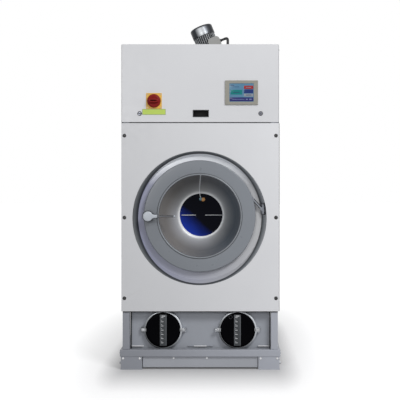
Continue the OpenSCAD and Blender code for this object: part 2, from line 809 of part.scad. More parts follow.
module terminal_box() color("#959593") at_fan() difference() {
    translate([box_x, -box_back, box_z]) rotate([90, 0, 0])
        linear_extrude(box_front - box_back) soft_square(box_w, 24);
    bar_z(fan_body_r + fin_h + seat, [box_z - box_w, box_z + box_w]);
}

gland_r = 11;
gland_stem_r = 8;
gland_z = 5;
hose_end_len = 2 * hose_r;

// The gland on the terminal box, in the fan's tilted frame, and the one on the top panel.
module conduit_glands() color("#1c1d1f") {
    at_fan() translate([box_x + box_w / 2, 0, box_z + gland_z])
        translate([0, -box_front + 30, 0]) rotate([0, 90, 0]) cylinder(r = gland_r, h = 8);
    from_face() translate([gland_x, gland_y, body_h]) {
        bar_z(gland_r, [0, 12]);
        bar_z(gland_stem_r, [-10, 0]);
    }
}

// The conduit's centre line: straight out of each gland and one smooth curve between.
hose_dir = [cos(fan_tilt), 0, sin(fan_tilt)];
hose_start = [fan_x, fan_y - box_front + 30, body_h + fan_rise]
    + (box_x + box_w / 2 + 8) * hose_dir
    + (box_z + gland_z) * [-sin(fan_tilt), 0, cos(fan_tilt)];
hose_end = [gland_x, gland_y, body_h + 12];
hose_rise = 85;
hose_push = 40;

function bezier(a, b, c, d, t) = pow(1 - t, 3) * a + 3 * pow(1 - t, 2) * t * b
    + 3 * (1 - t) * t * t * c + pow(t, 3) * d;
function hose_point(t) = t < 0.1 ? hose_start + t / 0.1 * hose_end_len * hose_dir
    : t > 0.9 ? hose_end + (1 - t) / 0.1 * [0, 0, hose_end_len]
    : bezier(hose_start + hose_end_len * hose_dir,
        hose_start + (hose_end_len + hose_push) * hose_dir,
        hose_end + [0, 0, hose_end_len + hose_rise], hose_end + [0, 0, hose_end_len],
        (t - 0.1) / 0.8);
function unit(v) = v / norm(v);
// A ring of eight points at t along the conduit, square to it.
function hose_ring(t, r) = let (
    p = hose_point(t),
    along = unit(hose_point(min(1, t + 0.004)) - hose_point(max(0, t - 0.004))),
    side = unit(cross(along, [0, 1, 0])),
    up = cross(side, along)
) [for (i = [0 : 7]) p + r * cos(i * 45) * side + r * sin(i * 45) * up];

// The wall between each ring and the next, from ring number first on, facing in or out.
function hose_skin(first, rings, flip) = [for (i = [0 : rings - 1], k = [0 : 7])
    let (a = (first + i) * 8 + k, b = (first + i) * 8 + (k + 1) % 8)
    each flip ? [[a, b, b + 8], [a, b + 8, a + 8]] : [[a, b + 8, b], [a, a + 8, b + 8]]];
// The flat end between outer ring o and inner ring q.
function hose_cap(o, q, flip) = [for (k = [0 : 7])
    let (a = o * 8 + k, b = o * 8 + (k + 1) % 8, c = q * 8 + k, d = q * 8 + (k + 1) % 8)
    each flip ? [[a, d, b], [a, c, d]] : [[a, b, d], [a, d, c]]];

module motor_conduit() {
    rings = 2 * hose_ribs;
    ts = [for (i = [0 : rings]) i / rings];
    outer = [for (i = [0 : rings]) hose_ring(ts[i], i % 2 == 0 ? hose_r - 1.5 : hose_r)];
    inner = [for (t = ts) hose_ring(t, hose_bore)];
    n = rings + 1;
    faces = concat(hose_skin(0, rings, true), hose_skin(n, rings, false),
        hose_cap(0, n, true), hose_cap(rings, n + rings, false));
    color("#141416") from_face()
        polyhedron([for (r = concat(outer, inner)) for (p = r) p], faces);
}

module fan_impeller() color("#7b8087") at_fan() {
    low = scroll_top - scroll_len + 25;
    bar_z(150, [low, low + 4]);
    bar_z(28, [low, low + 60]);
    bar_z(12, [low + 60, scroll_top + 28]);
    for (i = [0 : 11]) rotate(i * 30) block([26, 148], [-1.5, 1.5], [low + 3, low + 80]);
}

module control_box() color("#b9bcc0") from_face()
    hollow_block([185 - half_w, half_w - 145], [post_y + post_w + 11, post_y + post_w + 141],
        [rail_z + 60, post_top], 1.5);

pipe_xs = [for (i = [0 : 2]) 165 + 80 * i - half_w];
pipe_z = 500;
pipe_r = 10.5;

// Cooling water and compressed air stubs, each with a collar behind the rear panel.
module rear_connections() color("#b08d57") from_face() for (x = pipe_xs) translate([x, 0, pipe_z]) {
    bar_y(pipe_r, [body_d, body_d + reach]);
    bar_y(pipe_r - 1.5, [body_d - 40, body_d]);
    bar_y(pipe_r + 8, [body_d - sheet_t - 8, body_d - sheet_t - seat]);
}

// ---- Hatch with the controls ----

stations = [-half_w + 155, 0, half_w - 155];

// A hinge knuckle of length w around the hatch's axis.
module hatch_knuckle(w) translate([-w / 2, hinge_y, body_h]) bar_x(hinge_r, [0, w]);

module panel_hinge() color("#9a9da2") from_face() for (x = stations) translate([x, 0, 0]) {
    for (s = [-1, 1]) translate([s * 31, 0, 0]) {
        hatch_knuckle(20);
        block([-10, 10], [hinge_y, hinge_y + 34], [body_h, body_h + 2]);
    }
    translate([0, hinge_y, body_h]) bar_x(hinge_pin_r, [-41, 41]);
}

module upper_front_panel() color("#d6d7d9") from_face() difference() {
    x = half_w - sheet_t - 1;
    low = split_z + split_gap / 2;
    fold_x = post_x - post_w - 2;
    union() {
        block([-x, x], [0, sheet_t], [low, body_h]);
        block([-x, x], [0, hinge_y - hinge_r - 2], [body_h - sheet_t, body_h]);
        block([-fold_x, fold_x], [0, fold_d], [low, low + sheet_t]);
        for (e = stations) translate([e, 0, 0]) {
            block([-20, 20], [hinge_y - hinge_r - 3, hinge_y], [body_h - 4, body_h]);
            hatch_knuckle(40);
        }
    }
    for (e = stations) translate([e, hinge_y, body_h]) bar_x(hinge_pin_r + run, [-21, 21]);
    block([pull_x - pull_w / 2 + 3, pull_x + pull_w / 2 - 3], [-eps, sheet_t + eps],
        [lock_z - pull_h / 2 + 3, lock_z + pull_h / 2 - 3]);
    translate([switch_x, 0, switch_z]) bar_y(6 + run, [-eps, sheet_t + eps]);
    for (s = [-lock_x, lock_x]) translate([s, 0, lock_z])
        bar_y(lock_r - 4 + run, [-eps, sheet_t + eps]);
}

pull_x = 4;

module pull_recess() color("#101112") from_face() translate([pull_x, 0, lock_z]) difference() {
    union() {
        block([-pull_w / 2, pull_w / 2], [-2, 0], [-pull_h / 2, pull_h / 2]);
        block([-pull_w / 2 + 3.3, pull_w / 2 - 3.3], [-1, pull_d],
            [-pull_h / 2 + 3.3, pull_h / 2 - 3.3]);
    }
    block([-pull_w / 2 + 5, pull_w / 2 - 5], [-3, pull_d - 2], [-pull_h / 2 + 5, pull_h / 2 - 5]);
}

module screen_bezel() color("#8b8a81") from_face() translate([screen_x, 0, screen_z]) difference() {
    block([-bezel_w / 2, bezel_w / 2], [-bezel_t, 0], [-bezel_h / 2, bezel_h / 2]);
    block([-display_w / 2, display_w / 2], [-bezel_t - eps, -2], [-display_h / 2, display_h / 2]);
}

module screen_display() color("#6b8fae") from_face() translate([screen_x, 0, screen_z])
    block([-display_w / 2 + seat, display_w / 2 - seat], [-bezel_t + 2, -2],
        [-display_h / 2 + seat, display_h / 2 - seat]);

module switch_plate() color("#d8b24a") from_face() translate([switch_x, 0, switch_z]) difference() {
    block([-switch_w / 2, switch_w / 2], [-switch_t, 0], [-switch_w / 2, switch_w / 2]);
    bar_y(6 + run, [-switch_t - eps, eps]);
}

module label_plate() color("#bdd060") from_face() translate([switch_x, 0, label_z])
    block([-label_w / 2, label_w / 2], [-1.5, 0], [-label_h / 2, label_h / 2]);

// The rotary knob: a disc, a raised grip bar and a shaft through the plate.
module switch_knob() color("#8c1d20") from_face() translate([switch_x, 0, switch_z]) {
    back = -switch_t - seat;
    bar_y(switch_r, [back - 16, back]);
    bar_y(switch_r - 8, [back - 22, back - 16]);
    block([-switch_r + 10, switch_r - 10], [-reach + 2, back - 20], [-8, 8]);
    bar_y(6, [back, 40]);
}

// A quarter-turn lock: slotted face, stem and cam.
module lock(side) color("#8d9094") from_face() translate([side * lock_x, 0, lock_z]) difference() {
    union() {
        bar_y(lock_r, [-3, -seat]);
        bar_y(lock_r - 4, [-seat, 24]);
        block(side < 0 ? [0, 38] : [-38, 0], [20, 24], [-6, 6]);
    }
    block([-9, 9], [-4, -1.2], [-1.6, 1.6]);
}

module lock_left() lock(-1);
module lock_right() lock(1);

// ---- Loading door ----

module door_disc() color("#83878f") at_door() {
    back = disc_y + disc_d;
    inner = bead_r + bead_t + seat;
    throat = funnel_point(throat_a)[0] + 2.6 + seat;
    c = disc_edge;
    difference() {
        turned(concat([[inner, disc_y]],
            [for (a = [0 : 15 : 90]) [disc_r - c + c * sin(a), disc_y + c - c * cos(a)]],
            [[disc_r, back], [throat, back], [throat, back - disc_t],
             [disc_r - disc_t, back - disc_t], [disc_r - disc_t, disc_y + c],
             [disc_r - c, disc_y + disc_t], [inner, disc_y + disc_t]]));
        translate([-handle_x, 0, 0]) bar_y(8 + run, [disc_y - eps, disc_y + disc_t + eps]);
    }
}

// A point on the funnel's inner face, a = 0 at the bead and 90 at the glass.
throat_a = asin(pow((disc_d - disc_t - 4) / funnel_d, 1 / 1.4));
function funnel_point(a) = [glass_r + 8 + (bead_r - 5 - glass_r - 8) * pow(cos(a), 1.4),
    disc_y + 2 + funnel_d * pow(sin(a), 1.4)];

module door_funnel() color("#6c7076") at_door() {
    inner = concat([for (a = [0 : 7.5 : 82.5]) funnel_point(a)],
        [[glass_r + 8, disc_y + 2 + funnel_d], [glass_r, disc_y + 2 + funnel_d]]);
    n = len(inner);
    outer = [for (i = [n - 1 : -1 : 0]) inner[i] + [i > n - 3 ? 0 : 2.6, 2]];
    turned(concat(inner, outer));
    rotate([-90, 0, 0]) rotate_extrude() translate([bead_r, disc_y + 1]) circle(bead_t);
    tube_y(glass_r + 20, glass_r + 16, [disc_y + funnel_d, disc_y + funnel_d + glass_t + 8]);
}

module door_gasket() color("#1c1c1e") at_door()
    tube_y(mouth_r + 34, mouth_r + 8, [disc_y + disc_d, surround_d - seat]);

module door_glass() color("#31435c") at_door()
    bar_y(glass_r + 15.7, [disc_y + funnel_d + 4.3, disc_y + funnel_d + 4.3 + glass_t]);

// A bar from the disc's edge down to the knuckle on the hinge pin.
module door_hinge_arm() color("#9ea3ab") from_face() difference() {
    translate([door_x + pin_x, pin_y, pin_z]) {
        bar_z(knuckle_r, [-knuckle_h / 2, knuckle_h / 2]);
        translate([0, 0, -arm_drop]) rotate([0, arm_turn, 0])
            block([-arm_len, 0], [-6, 6], [-arm_w / 2, arm_w / 2]);
    }
    translate([door_x + pin_x, pin_y, pin_z]) bar_z(pin_r + run, [-knuckle_h, knuckle_h]);
    translate([door_x, 0, door_z]) bar_y(disc_r + 0.02, [0, 60]);
}

arm_turn = 48;
arm_drop = 10;
arm_len = 110;

// The lever: boss, neck, grip rod with its end cap and the spindle through the disc.
module door_handle() color("#a4a9b2") at_door() translate([-handle_x, 0, 0]) {
    bar_y(boss_r, [-reach, -reach + boss_t]);
    block([0, boss_r + 20], [-reach + 1, -reach + boss_t - 1], [-10, 10]);
    bar_y(8, [-reach + boss_t, disc_y + disc_t + 14]);
    bar_y(16, [-reach + boss_t, disc_y - seat]);
    translate([0, -reach + grip_r + 3, 0]) {
        bar_x(grip_r, [boss_r + 15, grip_len - 5]);
        bar_x(grip_r + 2, [grip_len - 5, grip_len]);
    }
}

// ---- Draw ----

base_frame();
feet();
kick_plate();
base_bolts();
body_frame();
left_side_panel();
right_side_panel();
rear_panel();
top_panel();
lower_front_panel();
panel_screws();
door_surround();
door_hinge_bracket();
outer_drum();
bearing_housing();
drive_motor();
drive_belt();
recess_panel();
solvent_tanks();
cover_necks();
solvent_pump();
solvent_filter();
still();
compressor();
air_duct();
fan_housing();
fan_motor_body();
fan_cowl();
terminal_box();
motor_conduit();
conduit_glands();
control_box();
rear_connections();
panel_hinge();
upper_front_panel();
pull_recess();
screen_bezel();
screen_display();
switch_plate();
label_plate();
switch_knob();
lock_left();
lock_right();
door_disc();
door_funnel();
door_gasket();
door_glass();
door_hinge_arm();
door_handle();
drum_cage();
drum_shaft();
drum_pulley();
motor_pulley();
fan_impeller();
tank_lid_left();
tank_lid_right();
level_window_left();
level_window_right();
cover_knob_left();
cover_knob_right();
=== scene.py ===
"""The looks of the dry cleaning machine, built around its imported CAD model.

Shapes are drawn in millimetres, with y from the cabinet's front face. Materials, lights and
the camera are in metres.
"""

import json
from math import cos, pi, radians, sin

import bmesh
import bpy
from mathutils import Matrix, Vector


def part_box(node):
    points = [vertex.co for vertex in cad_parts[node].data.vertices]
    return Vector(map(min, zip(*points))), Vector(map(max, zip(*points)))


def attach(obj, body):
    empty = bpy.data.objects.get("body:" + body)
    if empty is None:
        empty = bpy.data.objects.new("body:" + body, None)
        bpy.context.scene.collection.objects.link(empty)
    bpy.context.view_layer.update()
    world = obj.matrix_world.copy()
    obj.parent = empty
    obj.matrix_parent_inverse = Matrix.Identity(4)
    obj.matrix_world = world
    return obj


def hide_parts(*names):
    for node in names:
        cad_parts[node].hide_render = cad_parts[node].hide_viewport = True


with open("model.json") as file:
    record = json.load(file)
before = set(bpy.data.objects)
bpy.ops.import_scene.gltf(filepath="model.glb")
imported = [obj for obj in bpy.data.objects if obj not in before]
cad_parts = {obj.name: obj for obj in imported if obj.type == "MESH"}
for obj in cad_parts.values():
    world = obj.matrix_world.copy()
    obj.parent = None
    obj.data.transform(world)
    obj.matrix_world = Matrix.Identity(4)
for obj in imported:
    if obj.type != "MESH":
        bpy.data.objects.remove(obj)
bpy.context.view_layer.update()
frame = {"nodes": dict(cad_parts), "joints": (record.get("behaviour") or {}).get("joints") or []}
scene = bpy.context.scene
nodes = frame["nodes"]
joints = {joint["name"]: joint for joint in frame["joints"]}

MM = 0.001
FACE_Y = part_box("lower_front_panel")[0].y / MM


def place(x, y, z):
    """A point given in millimetres, with y from the cabinet's front face, in metres."""
    return Vector((x, y + FACE_Y, z)) * MM


def show(name, data):
    """A new object with this data, in the scene."""
    obj = bpy.data.objects.new(name, data)
    scene.collection.objects.link(obj)
    return obj


def turned(x, y, z, degrees, axis):
    """A frame at such a point, turned round one of the axes."""
    return Matrix.Translation(place(x, y, z)) @ Matrix.Rotation(radians(degrees), 4, axis)


def ranges(name):
    """A CAD node's reach in x, in y from the cabinet's front face and in z, in millimetres."""
    low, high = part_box(name)
    return ((low.x / MM, high.x / MM), (low.y / MM - FACE_Y, high.y / MM - FACE_Y),
            (low.z / MM, high.z / MM))


def pivot(name):
    """Where a joint lies, seen from the front, as (x, z) in millimetres."""
    x, _, z = joints[name]["pos_m"]
    return round(x / MM, 3), round(z / MM, 3)


TOP_Z = ranges("top_panel")[2][1]
SIDES = {"left": -1, "right": 1}
DOOR = pivot("drum_spin")
SURROUND_Z = round(sum(ranges("door_surround")[2]) / 2, 3)
SWITCH = pivot("main_switch_turn")
LUGS = {side: (pivot(f"{side}_cover_hinge")[0], pivot(f"{side}_knob_turn")[0]) for side in SIDES}
COVERS = {side: (sum(LUGS[side]) / 2, pivot(f"{side}_cover_hinge")[1]) for side in SIDES}
COWL_R = 79.0
FAN_TILT = radians(22)
fan_frame = Matrix.Translation(joints["fan_spin"]["pos_m"]) @ Matrix.Rotation(-FAN_TILT, 4, "Y")


# ---- Camera ----

camera_data = bpy.data.cameras.new("camera")
camera_data.sensor_width = 36
camera_data.lens = 73.2
camera_data.shift_x = -0.0818
camera_data.shift_y = -0.0235
camera = show("camera", camera_data)
camera.location = (0.2, -5.75, 1.1)
camera.rotation_euler = (radians(90), 0, 0)
scene.camera = camera


# ---- Tools for materials ----

def srgb(r, g, b):
    """A colour written as on a screen, 0 to 255, as the linear colour that Blender takes."""
    return tuple(
        c / 12.92 if c <= 0.04045 else ((c + 0.055) / 1.055) ** 2.4
        for c in (v / 255 for v in (r, g, b))
    ) + (1.0,)


def shade(rgb, factor):
    """Such a colour made darker or lighter."""
    return tuple(min(1.0, c * factor) for c in srgb(*rgb)[:3]) + (1.0,)


def around(rgb, share):
    """Such a colour a share darker and a share lighter."""
    return shade(rgb, 1 - share), shade(rgb, 1 + share)


class Nodes:
    """Short calls for a node tree."""

    def __init__(self, tree):
        self.tree = tree

    def add(self, kind, inputs=None, **settings):
        node = self.tree.nodes.new(kind)
        for key, value in settings.items():
            setattr(node, key, value)
        for key, value in (inputs or {}).items():
            self.feed(node.inputs[key], value)
        return node

    def feed(self, socket, value):
        if isinstance(value, bpy.types.NodeSocket):
            self.tree.links.new(value, socket)
        else:
            socket.default_value = value

    def ramp(self, value, low, high, to_low=0.0, to_high=1.0):
        return self.add("ShaderNodeMapRange", {
            "Value": value, "From Min": low, "From Max": high,
            "To Min": to_low, "To Max": to_high}).outputs["Result"]

    def math(self, operation, a, b=0.0):
        node = self.add("ShaderNodeMath", operation=operation)
        self.feed(node.inputs[0], a)
        self.feed(node.inputs[1], b)
        return node.outputs[0]

    def hypot(self, a, b):
        """The length of the diagonal over the sides a and b."""
        squares = [self.math("MULTIPLY", side, side) for side in (a, b)]
        return self.math("SQRT", self.math("ADD", *squares))

    def shown(self):
        """1 for the rays that show a thing, straight, in glass or in a reflection, else 0."""
        path = self.add("ShaderNodeLightPath").outputs
        seen = self.math("MAXIMUM", path["Is Camera Ray"], path["Is Transmission Ray"])
        return self.math("MAXIMUM", seen, path["Is Glossy Ray"])


class Surface(Nodes):
    """A new material and short calls for its node tree."""

    def __init__(self, name):
        self.material = bpy.data.materials.new(name)
        self.material.use_nodes = True
        super().__init__(self.material.node_tree)
        self.shader = self.tree.nodes["Principled BSDF"]
        self.coords = self.add("ShaderNodeTexCoord").outputs["Object"]

    def set(self, **values):
        """Fills the shader's sockets, whose names are written with underscores."""
        for key, value in values.items():
            self.feed(self.shader.inputs[key.replace("_", " ")], value)

    def axes(self, vector=None):
        """The x, y and z of a vector, or of the place on the object."""
        return self.add("ShaderNodeSeparateXYZ", {"Vector": vector or self.coords}).outputs[:]

    def scaled(self, x, y, z):
        return self.add("ShaderNodeMapping", {
            "Vector": self.coords, "Scale": (x, y, z)}).outputs["Vector"]

    def noise(self, scale, detail=2.0, vector=None, roughness=0.5):
        return self.add("ShaderNodeTexNoise", {
            "Vector": vector or self.coords, "Scale": scale, "Detail": detail,
            "Roughness": roughness}).outputs["Fac"]

    def cloud(self, scale, low=0.0, high=1.0, detail=3.0):
        """Soft patches between two values."""
        return self.ramp(self.noise(scale, detail), 0.3, 0.7, low, high)

    def radius(self, centre):
        """Distance in metres from an axis along Y through (x, z) in millimetres."""
        x, _, z = self.axes()
        return self.hypot(self.math("SUBTRACT", x, centre[0] * MM),
                          self.math("SUBTRACT", z, centre[1] * MM))

    def rings(self, radius, scale, detail, roughness):
        """Fine lines that follow a radius, as on turned metal."""
        return self.add("ShaderNodeTexNoise", {
            "W": radius, "Scale": scale, "Detail": detail, "Roughness": roughness},
            noise_dimensions="1D").outputs["Fac"]

    def mix(self, factor, a, b, blend="MIX"):
        node = self.add("ShaderNodeMix", data_type="RGBA", blend_type=blend)
        # Input 0 is the factor. Inputs 6 and 7 and output 2 are those for colours.
        for index, value in ((0, factor), (6, a), (7, b)):
            self.feed(node.inputs[index], value)
        return node.outputs[2]

    def times(self, color, share):
        return self.mix(1.0, color, share, "MULTIPLY")

    def bands(self, value, stops):
        """Colours along a value from 0 to 1, from stops of a position and an (r, g, b)."""
        node = self.add("ShaderNodeValToRGB", {"Fac": value})
        elements = node.color_ramp.elements
        elements[0].position, elements[1].position = stops[0][0], stops[-1][0]
        for position, _ in stops[1:-1]:
            elements.new(position)
        for element, (_, rgb) in zip(elements, stops):
            element.color = srgb(*rgb)
        return node.outputs["Color"]

    def bump(self, height, strength, distance):
        bump = self.add("ShaderNodeBump", {
            "Height": height, "Strength": strength, "Distance": distance})
        self.set(Normal=bump.outputs["Normal"])


# ---- Materials ----

def paint(name, rgb, rough=0.42, vary=0.035, peel=0.06, metal=0.0, wear=0.25, sides=None):
    """Sprayed paint: slow tone changes, fine orange peel, a little dust. sides gives its
    share of the colour at the left and at the right edge of the machine: painted shade
    at the left and painted light at the right."""
    n = Surface(name)
    base = n.mix(n.cloud(2.2), *around(rgb, vary))
    if sides:
        # Painted shade towards the left edge and painted light towards the right.
        base = n.times(base, n.ramp(n.axes()[0], -0.48, 0.48, *sides))
    specks = n.ramp(n.noise(140, 4.0, roughness=0.7), 0.62, 0.8, 0.0, wear)
    n.set(Base_Color=n.mix(specks, base, shade(rgb, 0.86)), Metallic=metal)
    n.set(Roughness=n.cloud(24, rough - 0.05, rough + 0.06))
    n.bump(n.noise(620), peel, 0.0006)
    return n.material


def brushed(name, rgb, rough=0.3, stretch=(6, 6, 220), metal=1.0, vary=0.12):
    """Metal with fine scratches along the directions where stretch is small."""
    n = Surface(name)
    lines = n.noise(4.0, 4.0, n.scaled(*stretch), roughness=0.65)
    base = n.mix(lines, *around(rgb, vary))
    n.set(Base_Color=n.mix(n.cloud(9), base, shade(rgb, 0.9)), Metallic=metal)
    n.set(Roughness=n.ramp(lines, 0.25, 0.75, rough - 0.07, rough + 0.1))
    n.bump(lines, 0.05, 0.0004)
    return n.material


def spun(name, rgb, centre, rough, metal=1.0, corners=None):
    """Metal turned or polished round an axis along Y: rings of fine lines. corners gives its
    share of the colour at the lower left and at the upper right of a tank cover's ring:
    painted shade at the lower left and a painted highlight at the upper right."""
    n = Surface(name)
    ring = n.rings(n.radius(centre), 160.0, 5.0, 0.7)
    base = n.mix(ring, *around(rgb, 0.08))
    base = n.mix(n.cloud(5), base, shade(rgb, 0.88))
    # Painted shade towards the lower left and a painted highlight towards the upper right.
    if corners:
        x, _, z = n.axes()
        middle = (centre[0] + centre[1]) * MM
        base = n.times(base, n.ramp(n.math("ADD", x, z), middle - 0.14, middle + 0.16, *corners))
    n.set(Base_Color=base, Metallic=metal)
    n.set(Roughness=n.ramp(ring, 0.3, 0.7, rough - 0.05, rough + 0.07))
    n.bump(ring, 0.04, 0.0004)
    return n.material


def plastic(name, rgb, rough=0.4, grain=0.08, spec=0.5):
    """Moulded plastic or rubber with a fine grain."""
    n = Surface(name)
    n.set(Base_Color=n.mix(n.cloud(14), *around(rgb, 0.05)), Specular_IOR_Level=spec)
    n.set(Roughness=n.cloud(60, rough - 0.05, rough + 0.06))
    n.bump(n.noise(420), grain, 0.0005)
    return n.material


panel_paint = paint("panel_paint", (216, 217, 220), rough=0.38, vary=0.02)
# Painted shade on the left of the lower front panel, painted light on its right.
lower_paint = paint("lower_paint", (213, 214, 217), rough=0.38, vary=0.02,
                    sides=(0.94, 1.15))
side_paint = paint("side_paint", (214, 215, 218), rough=0.4, vary=0.02)
# The base and the feet: painted shade on the left, painted light on the right.
base_paint = paint("base_paint", (150, 153, 161), sides=(0.88, 1.40))
foot_paint = paint("foot_paint", (149, 152, 160), sides=(0.95, 1.50))
kick_paint = paint("kick_paint", (171, 174, 181), rough=0.45)
recess_paint = paint("recess_paint", (158, 162, 170), rough=0.4)
# The door: painted shade on its left, painted light on its right.
door_paint = paint("door_paint", (126, 131, 138), rough=0.32, vary=0.015, wear=0.06,
                   sides=(0.78, 1.12))
arm_paint = paint("arm_paint", (138, 142, 150), rough=0.5)
frame_paint = paint("frame_paint", (120, 123, 130), rough=0.5)
tank_paint = paint("tank_paint", (128, 133, 140), rough=0.5)
box_cast = paint("box_cast", (152, 152, 150), rough=0.5, vary=0.06, peel=0.2)
motor_blue = paint("motor_blue", (58, 92, 130))
pump_green = paint("pump_green", (70, 106, 84), rough=0.45)
compressor_black = paint("compressor_black", (30, 32, 34), rough=0.4, vary=0.1)
cast_iron = paint("cast_iron", (104, 107, 112), rough=0.5, metal=0.7, vary=0.12, peel=0.25)

handle_metal = brushed("handle_metal", (170, 175, 182), rough=0.4, metal=0.35)
rod_metal = brushed("rod_metal", (92, 93, 96), rough=0.34)
seam_weld = brushed("seam_weld", (232, 235, 238), rough=0.45, metal=0.1)
zinc = brushed("zinc", (150, 152, 156), rough=0.34, stretch=(60, 60, 60))
lug_metal = brushed("lug_metal", (178, 180, 183), rough=0.4, stretch=(60, 60, 60), metal=0.5)
lock_metal = brushed("lock_metal", (112, 114, 122), rough=0.26, stretch=(40, 40, 40))
galvanised = brushed("galvanised", (158, 163, 168), rough=0.38, stretch=(14, 14, 14),
                     vary=0.2)
brass = brushed("brass", (190, 154, 92), stretch=(80, 80, 80))

bead_steel = spun("bead_steel", (122, 126, 131), DOOR, rough=0.5, metal=0.6)
drum_steel = spun("drum_steel", (150, 154, 160), DOOR, rough=0.34)
# Tank cover rings: painted shade at the lower left, painted highlight at the upper right.
ring_steel = {side: spun(f"ring_steel_{side}", (150, 153, 157), COVERS[side], rough=0.36,
                         metal=0.8, corners=(0.30, 1.75))
              for side in SIDES}

gasket_rubber = plastic("gasket_rubber", (34, 34, 36), rough=0.6)
# Near-black strips put in gaps and under edges where shade falls: painted shade.
gap_shade_black = plastic("gap_shade_black", (24, 25, 28), rough=0.7)
belt_rubber = plastic("belt_rubber", (30, 30, 32), rough=0.62)
black_plastic = plastic("black_plastic", (22, 23, 25), rough=0.45)
lid_plastic = plastic("lid_plastic", (3, 3, 5), rough=0.46, grain=0.05, spec=0.02)
pull_black = plastic("pull_black", (9, 9, 10), rough=0.6, spec=0.15)
pull_edge = plastic("pull_edge", (44, 46, 50), rough=0.5, spec=0.3)
# Near-black edging along the lever and the hinge arm, where shade falls: painted shade.
edge_shade_black = plastic("edge_shade_black", (26, 28, 32), rough=0.6, spec=0.2)
# White lips and bolt heads: painted highlights.
highlight_white = plastic("highlight_white", (238, 238, 240), grain=0.02)
yellow_plastic = plastic("yellow_plastic", (224, 174, 52))
red_plastic = plastic("red_plastic", (132, 22, 20), rough=0.46, spec=0.2)
red_shadow = plastic("red_shadow", (92, 16, 18), rough=0.5)
label_film = plastic("label_film", (182, 207, 84), rough=0.42, grain=0.02)
label_edge = plastic("label_edge", (128, 138, 96), rough=0.5)
bezel_plastic = plastic("bezel_plastic", (143, 141, 132), rough=0.46)
screw_black = plastic("screw_black", (20, 20, 22), rough=0.34)
lock_dark = plastic("lock_dark", (44, 45, 48))
hose_plastic = plastic("hose_plastic", (24, 25, 27), rough=0.42)
strip_plastic = plastic("strip_plastic", (62, 65, 68), rough=0.36, spec=0.3)
strip_rail = plastic("strip_rail", (80, 84, 88))
mark_white = plastic("mark_white", (214, 216, 218), rough=0.5, grain=0.02)
faint_grey = plastic("faint_grey", (70, 72, 76), rough=0.5)
# The teal of one nozzle nut: painted blue reflection.
nozzle_blue_reflection = plastic("nozzle_blue_reflection", (92, 132, 146), rough=0.35)
nozzle_orange = plastic("nozzle_orange", (196, 138, 70), rough=0.35)


def surround_material():
    """Blue-grey paint in the channel, lighter to the right and at the top as painted light,
    and a darker wall round it, darkened with painted shade.
    """
    n = Surface("surround_paint")
    x, _, z = n.axes()
    dx = n.math("SUBTRACT", x, DOOR[0] * MM)
    dz = n.math("SUBTRACT", z, SURROUND_Z * MM)
    floor_r, wall_r = 0.382, 0.410
    # The painted shade on the wall is narrow at the bottom, wider at the top and widest at the
    # sides.
    radius = n.hypot(dx, n.math("MULTIPLY", dz, n.ramp(dz, -0.30, 0.30, 0.95, 0.965)))
    wall = n.bands(n.ramp(radius, floor_r - 0.002, wall_r + 0.002), (
        (0.10, (44, 46, 50)), (0.22, (60, 63, 67)), (0.52, (112, 116, 120)),
        (0.86, (140, 143, 146)), (0.95, (92, 95, 99))))
    # Painted shade on the left of the wall, painted light on its right.
    wall = n.times(wall, n.ramp(dx, -wall_r, wall_r, 0.66, 1.62))
    # Painted shade: darker lavender on the left of the channel; painted light: lighter grey on its
    # right.
    floor = n.mix(n.ramp(dx, -0.36, 0.36), srgb(148, 151, 174), srgb(193, 194, 196))
    # Painted light on the top of the channel.
    floor = n.mix(n.ramp(dz, 0.20, 0.32), floor, srgb(244, 247, 252))
    floor = n.mix(n.cloud(2.2, 0.0, 0.12), floor, srgb(150, 153, 162))
    edge = n.ramp(radius, floor_r - 0.0008, floor_r + 0.0015)
    n.set(Base_Color=n.mix(edge, floor, wall))
    n.set(Roughness=n.cloud(24, 0.32, 0.42))
    n.bump(n.noise(620), 0.06, 0.0006)
    return n.material


def funnel_material():
    """Satin steel with painted light: a painted highlight at the glass, and as painted reflection
    brown-grey on the left and slate on the right.
    """
    n = Surface("funnel_steel")
    radius = n.radius(DOOR)
    x, _, z = n.axes()
    # Painted reflection: lighter brown-grey on the left, darker slate on the right.
    wall = n.mix(n.ramp(x, -0.16, 0.17), srgb(146, 142, 137), srgb(98, 107, 118))
    # Painted shade towards the top.
    wall = n.mix(n.ramp(z, 1.05, 1.19, 0.0, 0.55), wall, srgb(90, 90, 94))
    # Painted highlight: the steel is bright near the glass.
    glow = n.math("POWER", n.ramp(radius, 0.152, 0.222, 1.0, 0.0), 1.25)
    # The painted highlight is strongest at the lower left, which faces the key light.
    downwards = n.math("SUBTRACT", n.math("MULTIPLY", x, -0.8), z)
    middle = -DOOR[1] * MM
    glow = n.math("MULTIPLY", glow, n.ramp(downwards, middle - 0.14, middle + 0.16, 0.6, 1.0))
    ring = n.rings(radius, 120.0, 4.0, 0.6)
    color = n.mix(glow, wall, srgb(212, 214, 216))
    n.set(Base_Color=n.mix(n.ramp(ring, 0.3, 0.7, 0.0, 0.12), color, srgb(150, 150, 150)))
    n.set(Metallic=n.ramp(glow, 0.0, 1.0, 0.25, 0.5))
    n.set(Roughness=n.cloud(40, 0.46, 0.54, 2.0))
    n.bump(ring, 0.02, 0.0003)
    return n.material


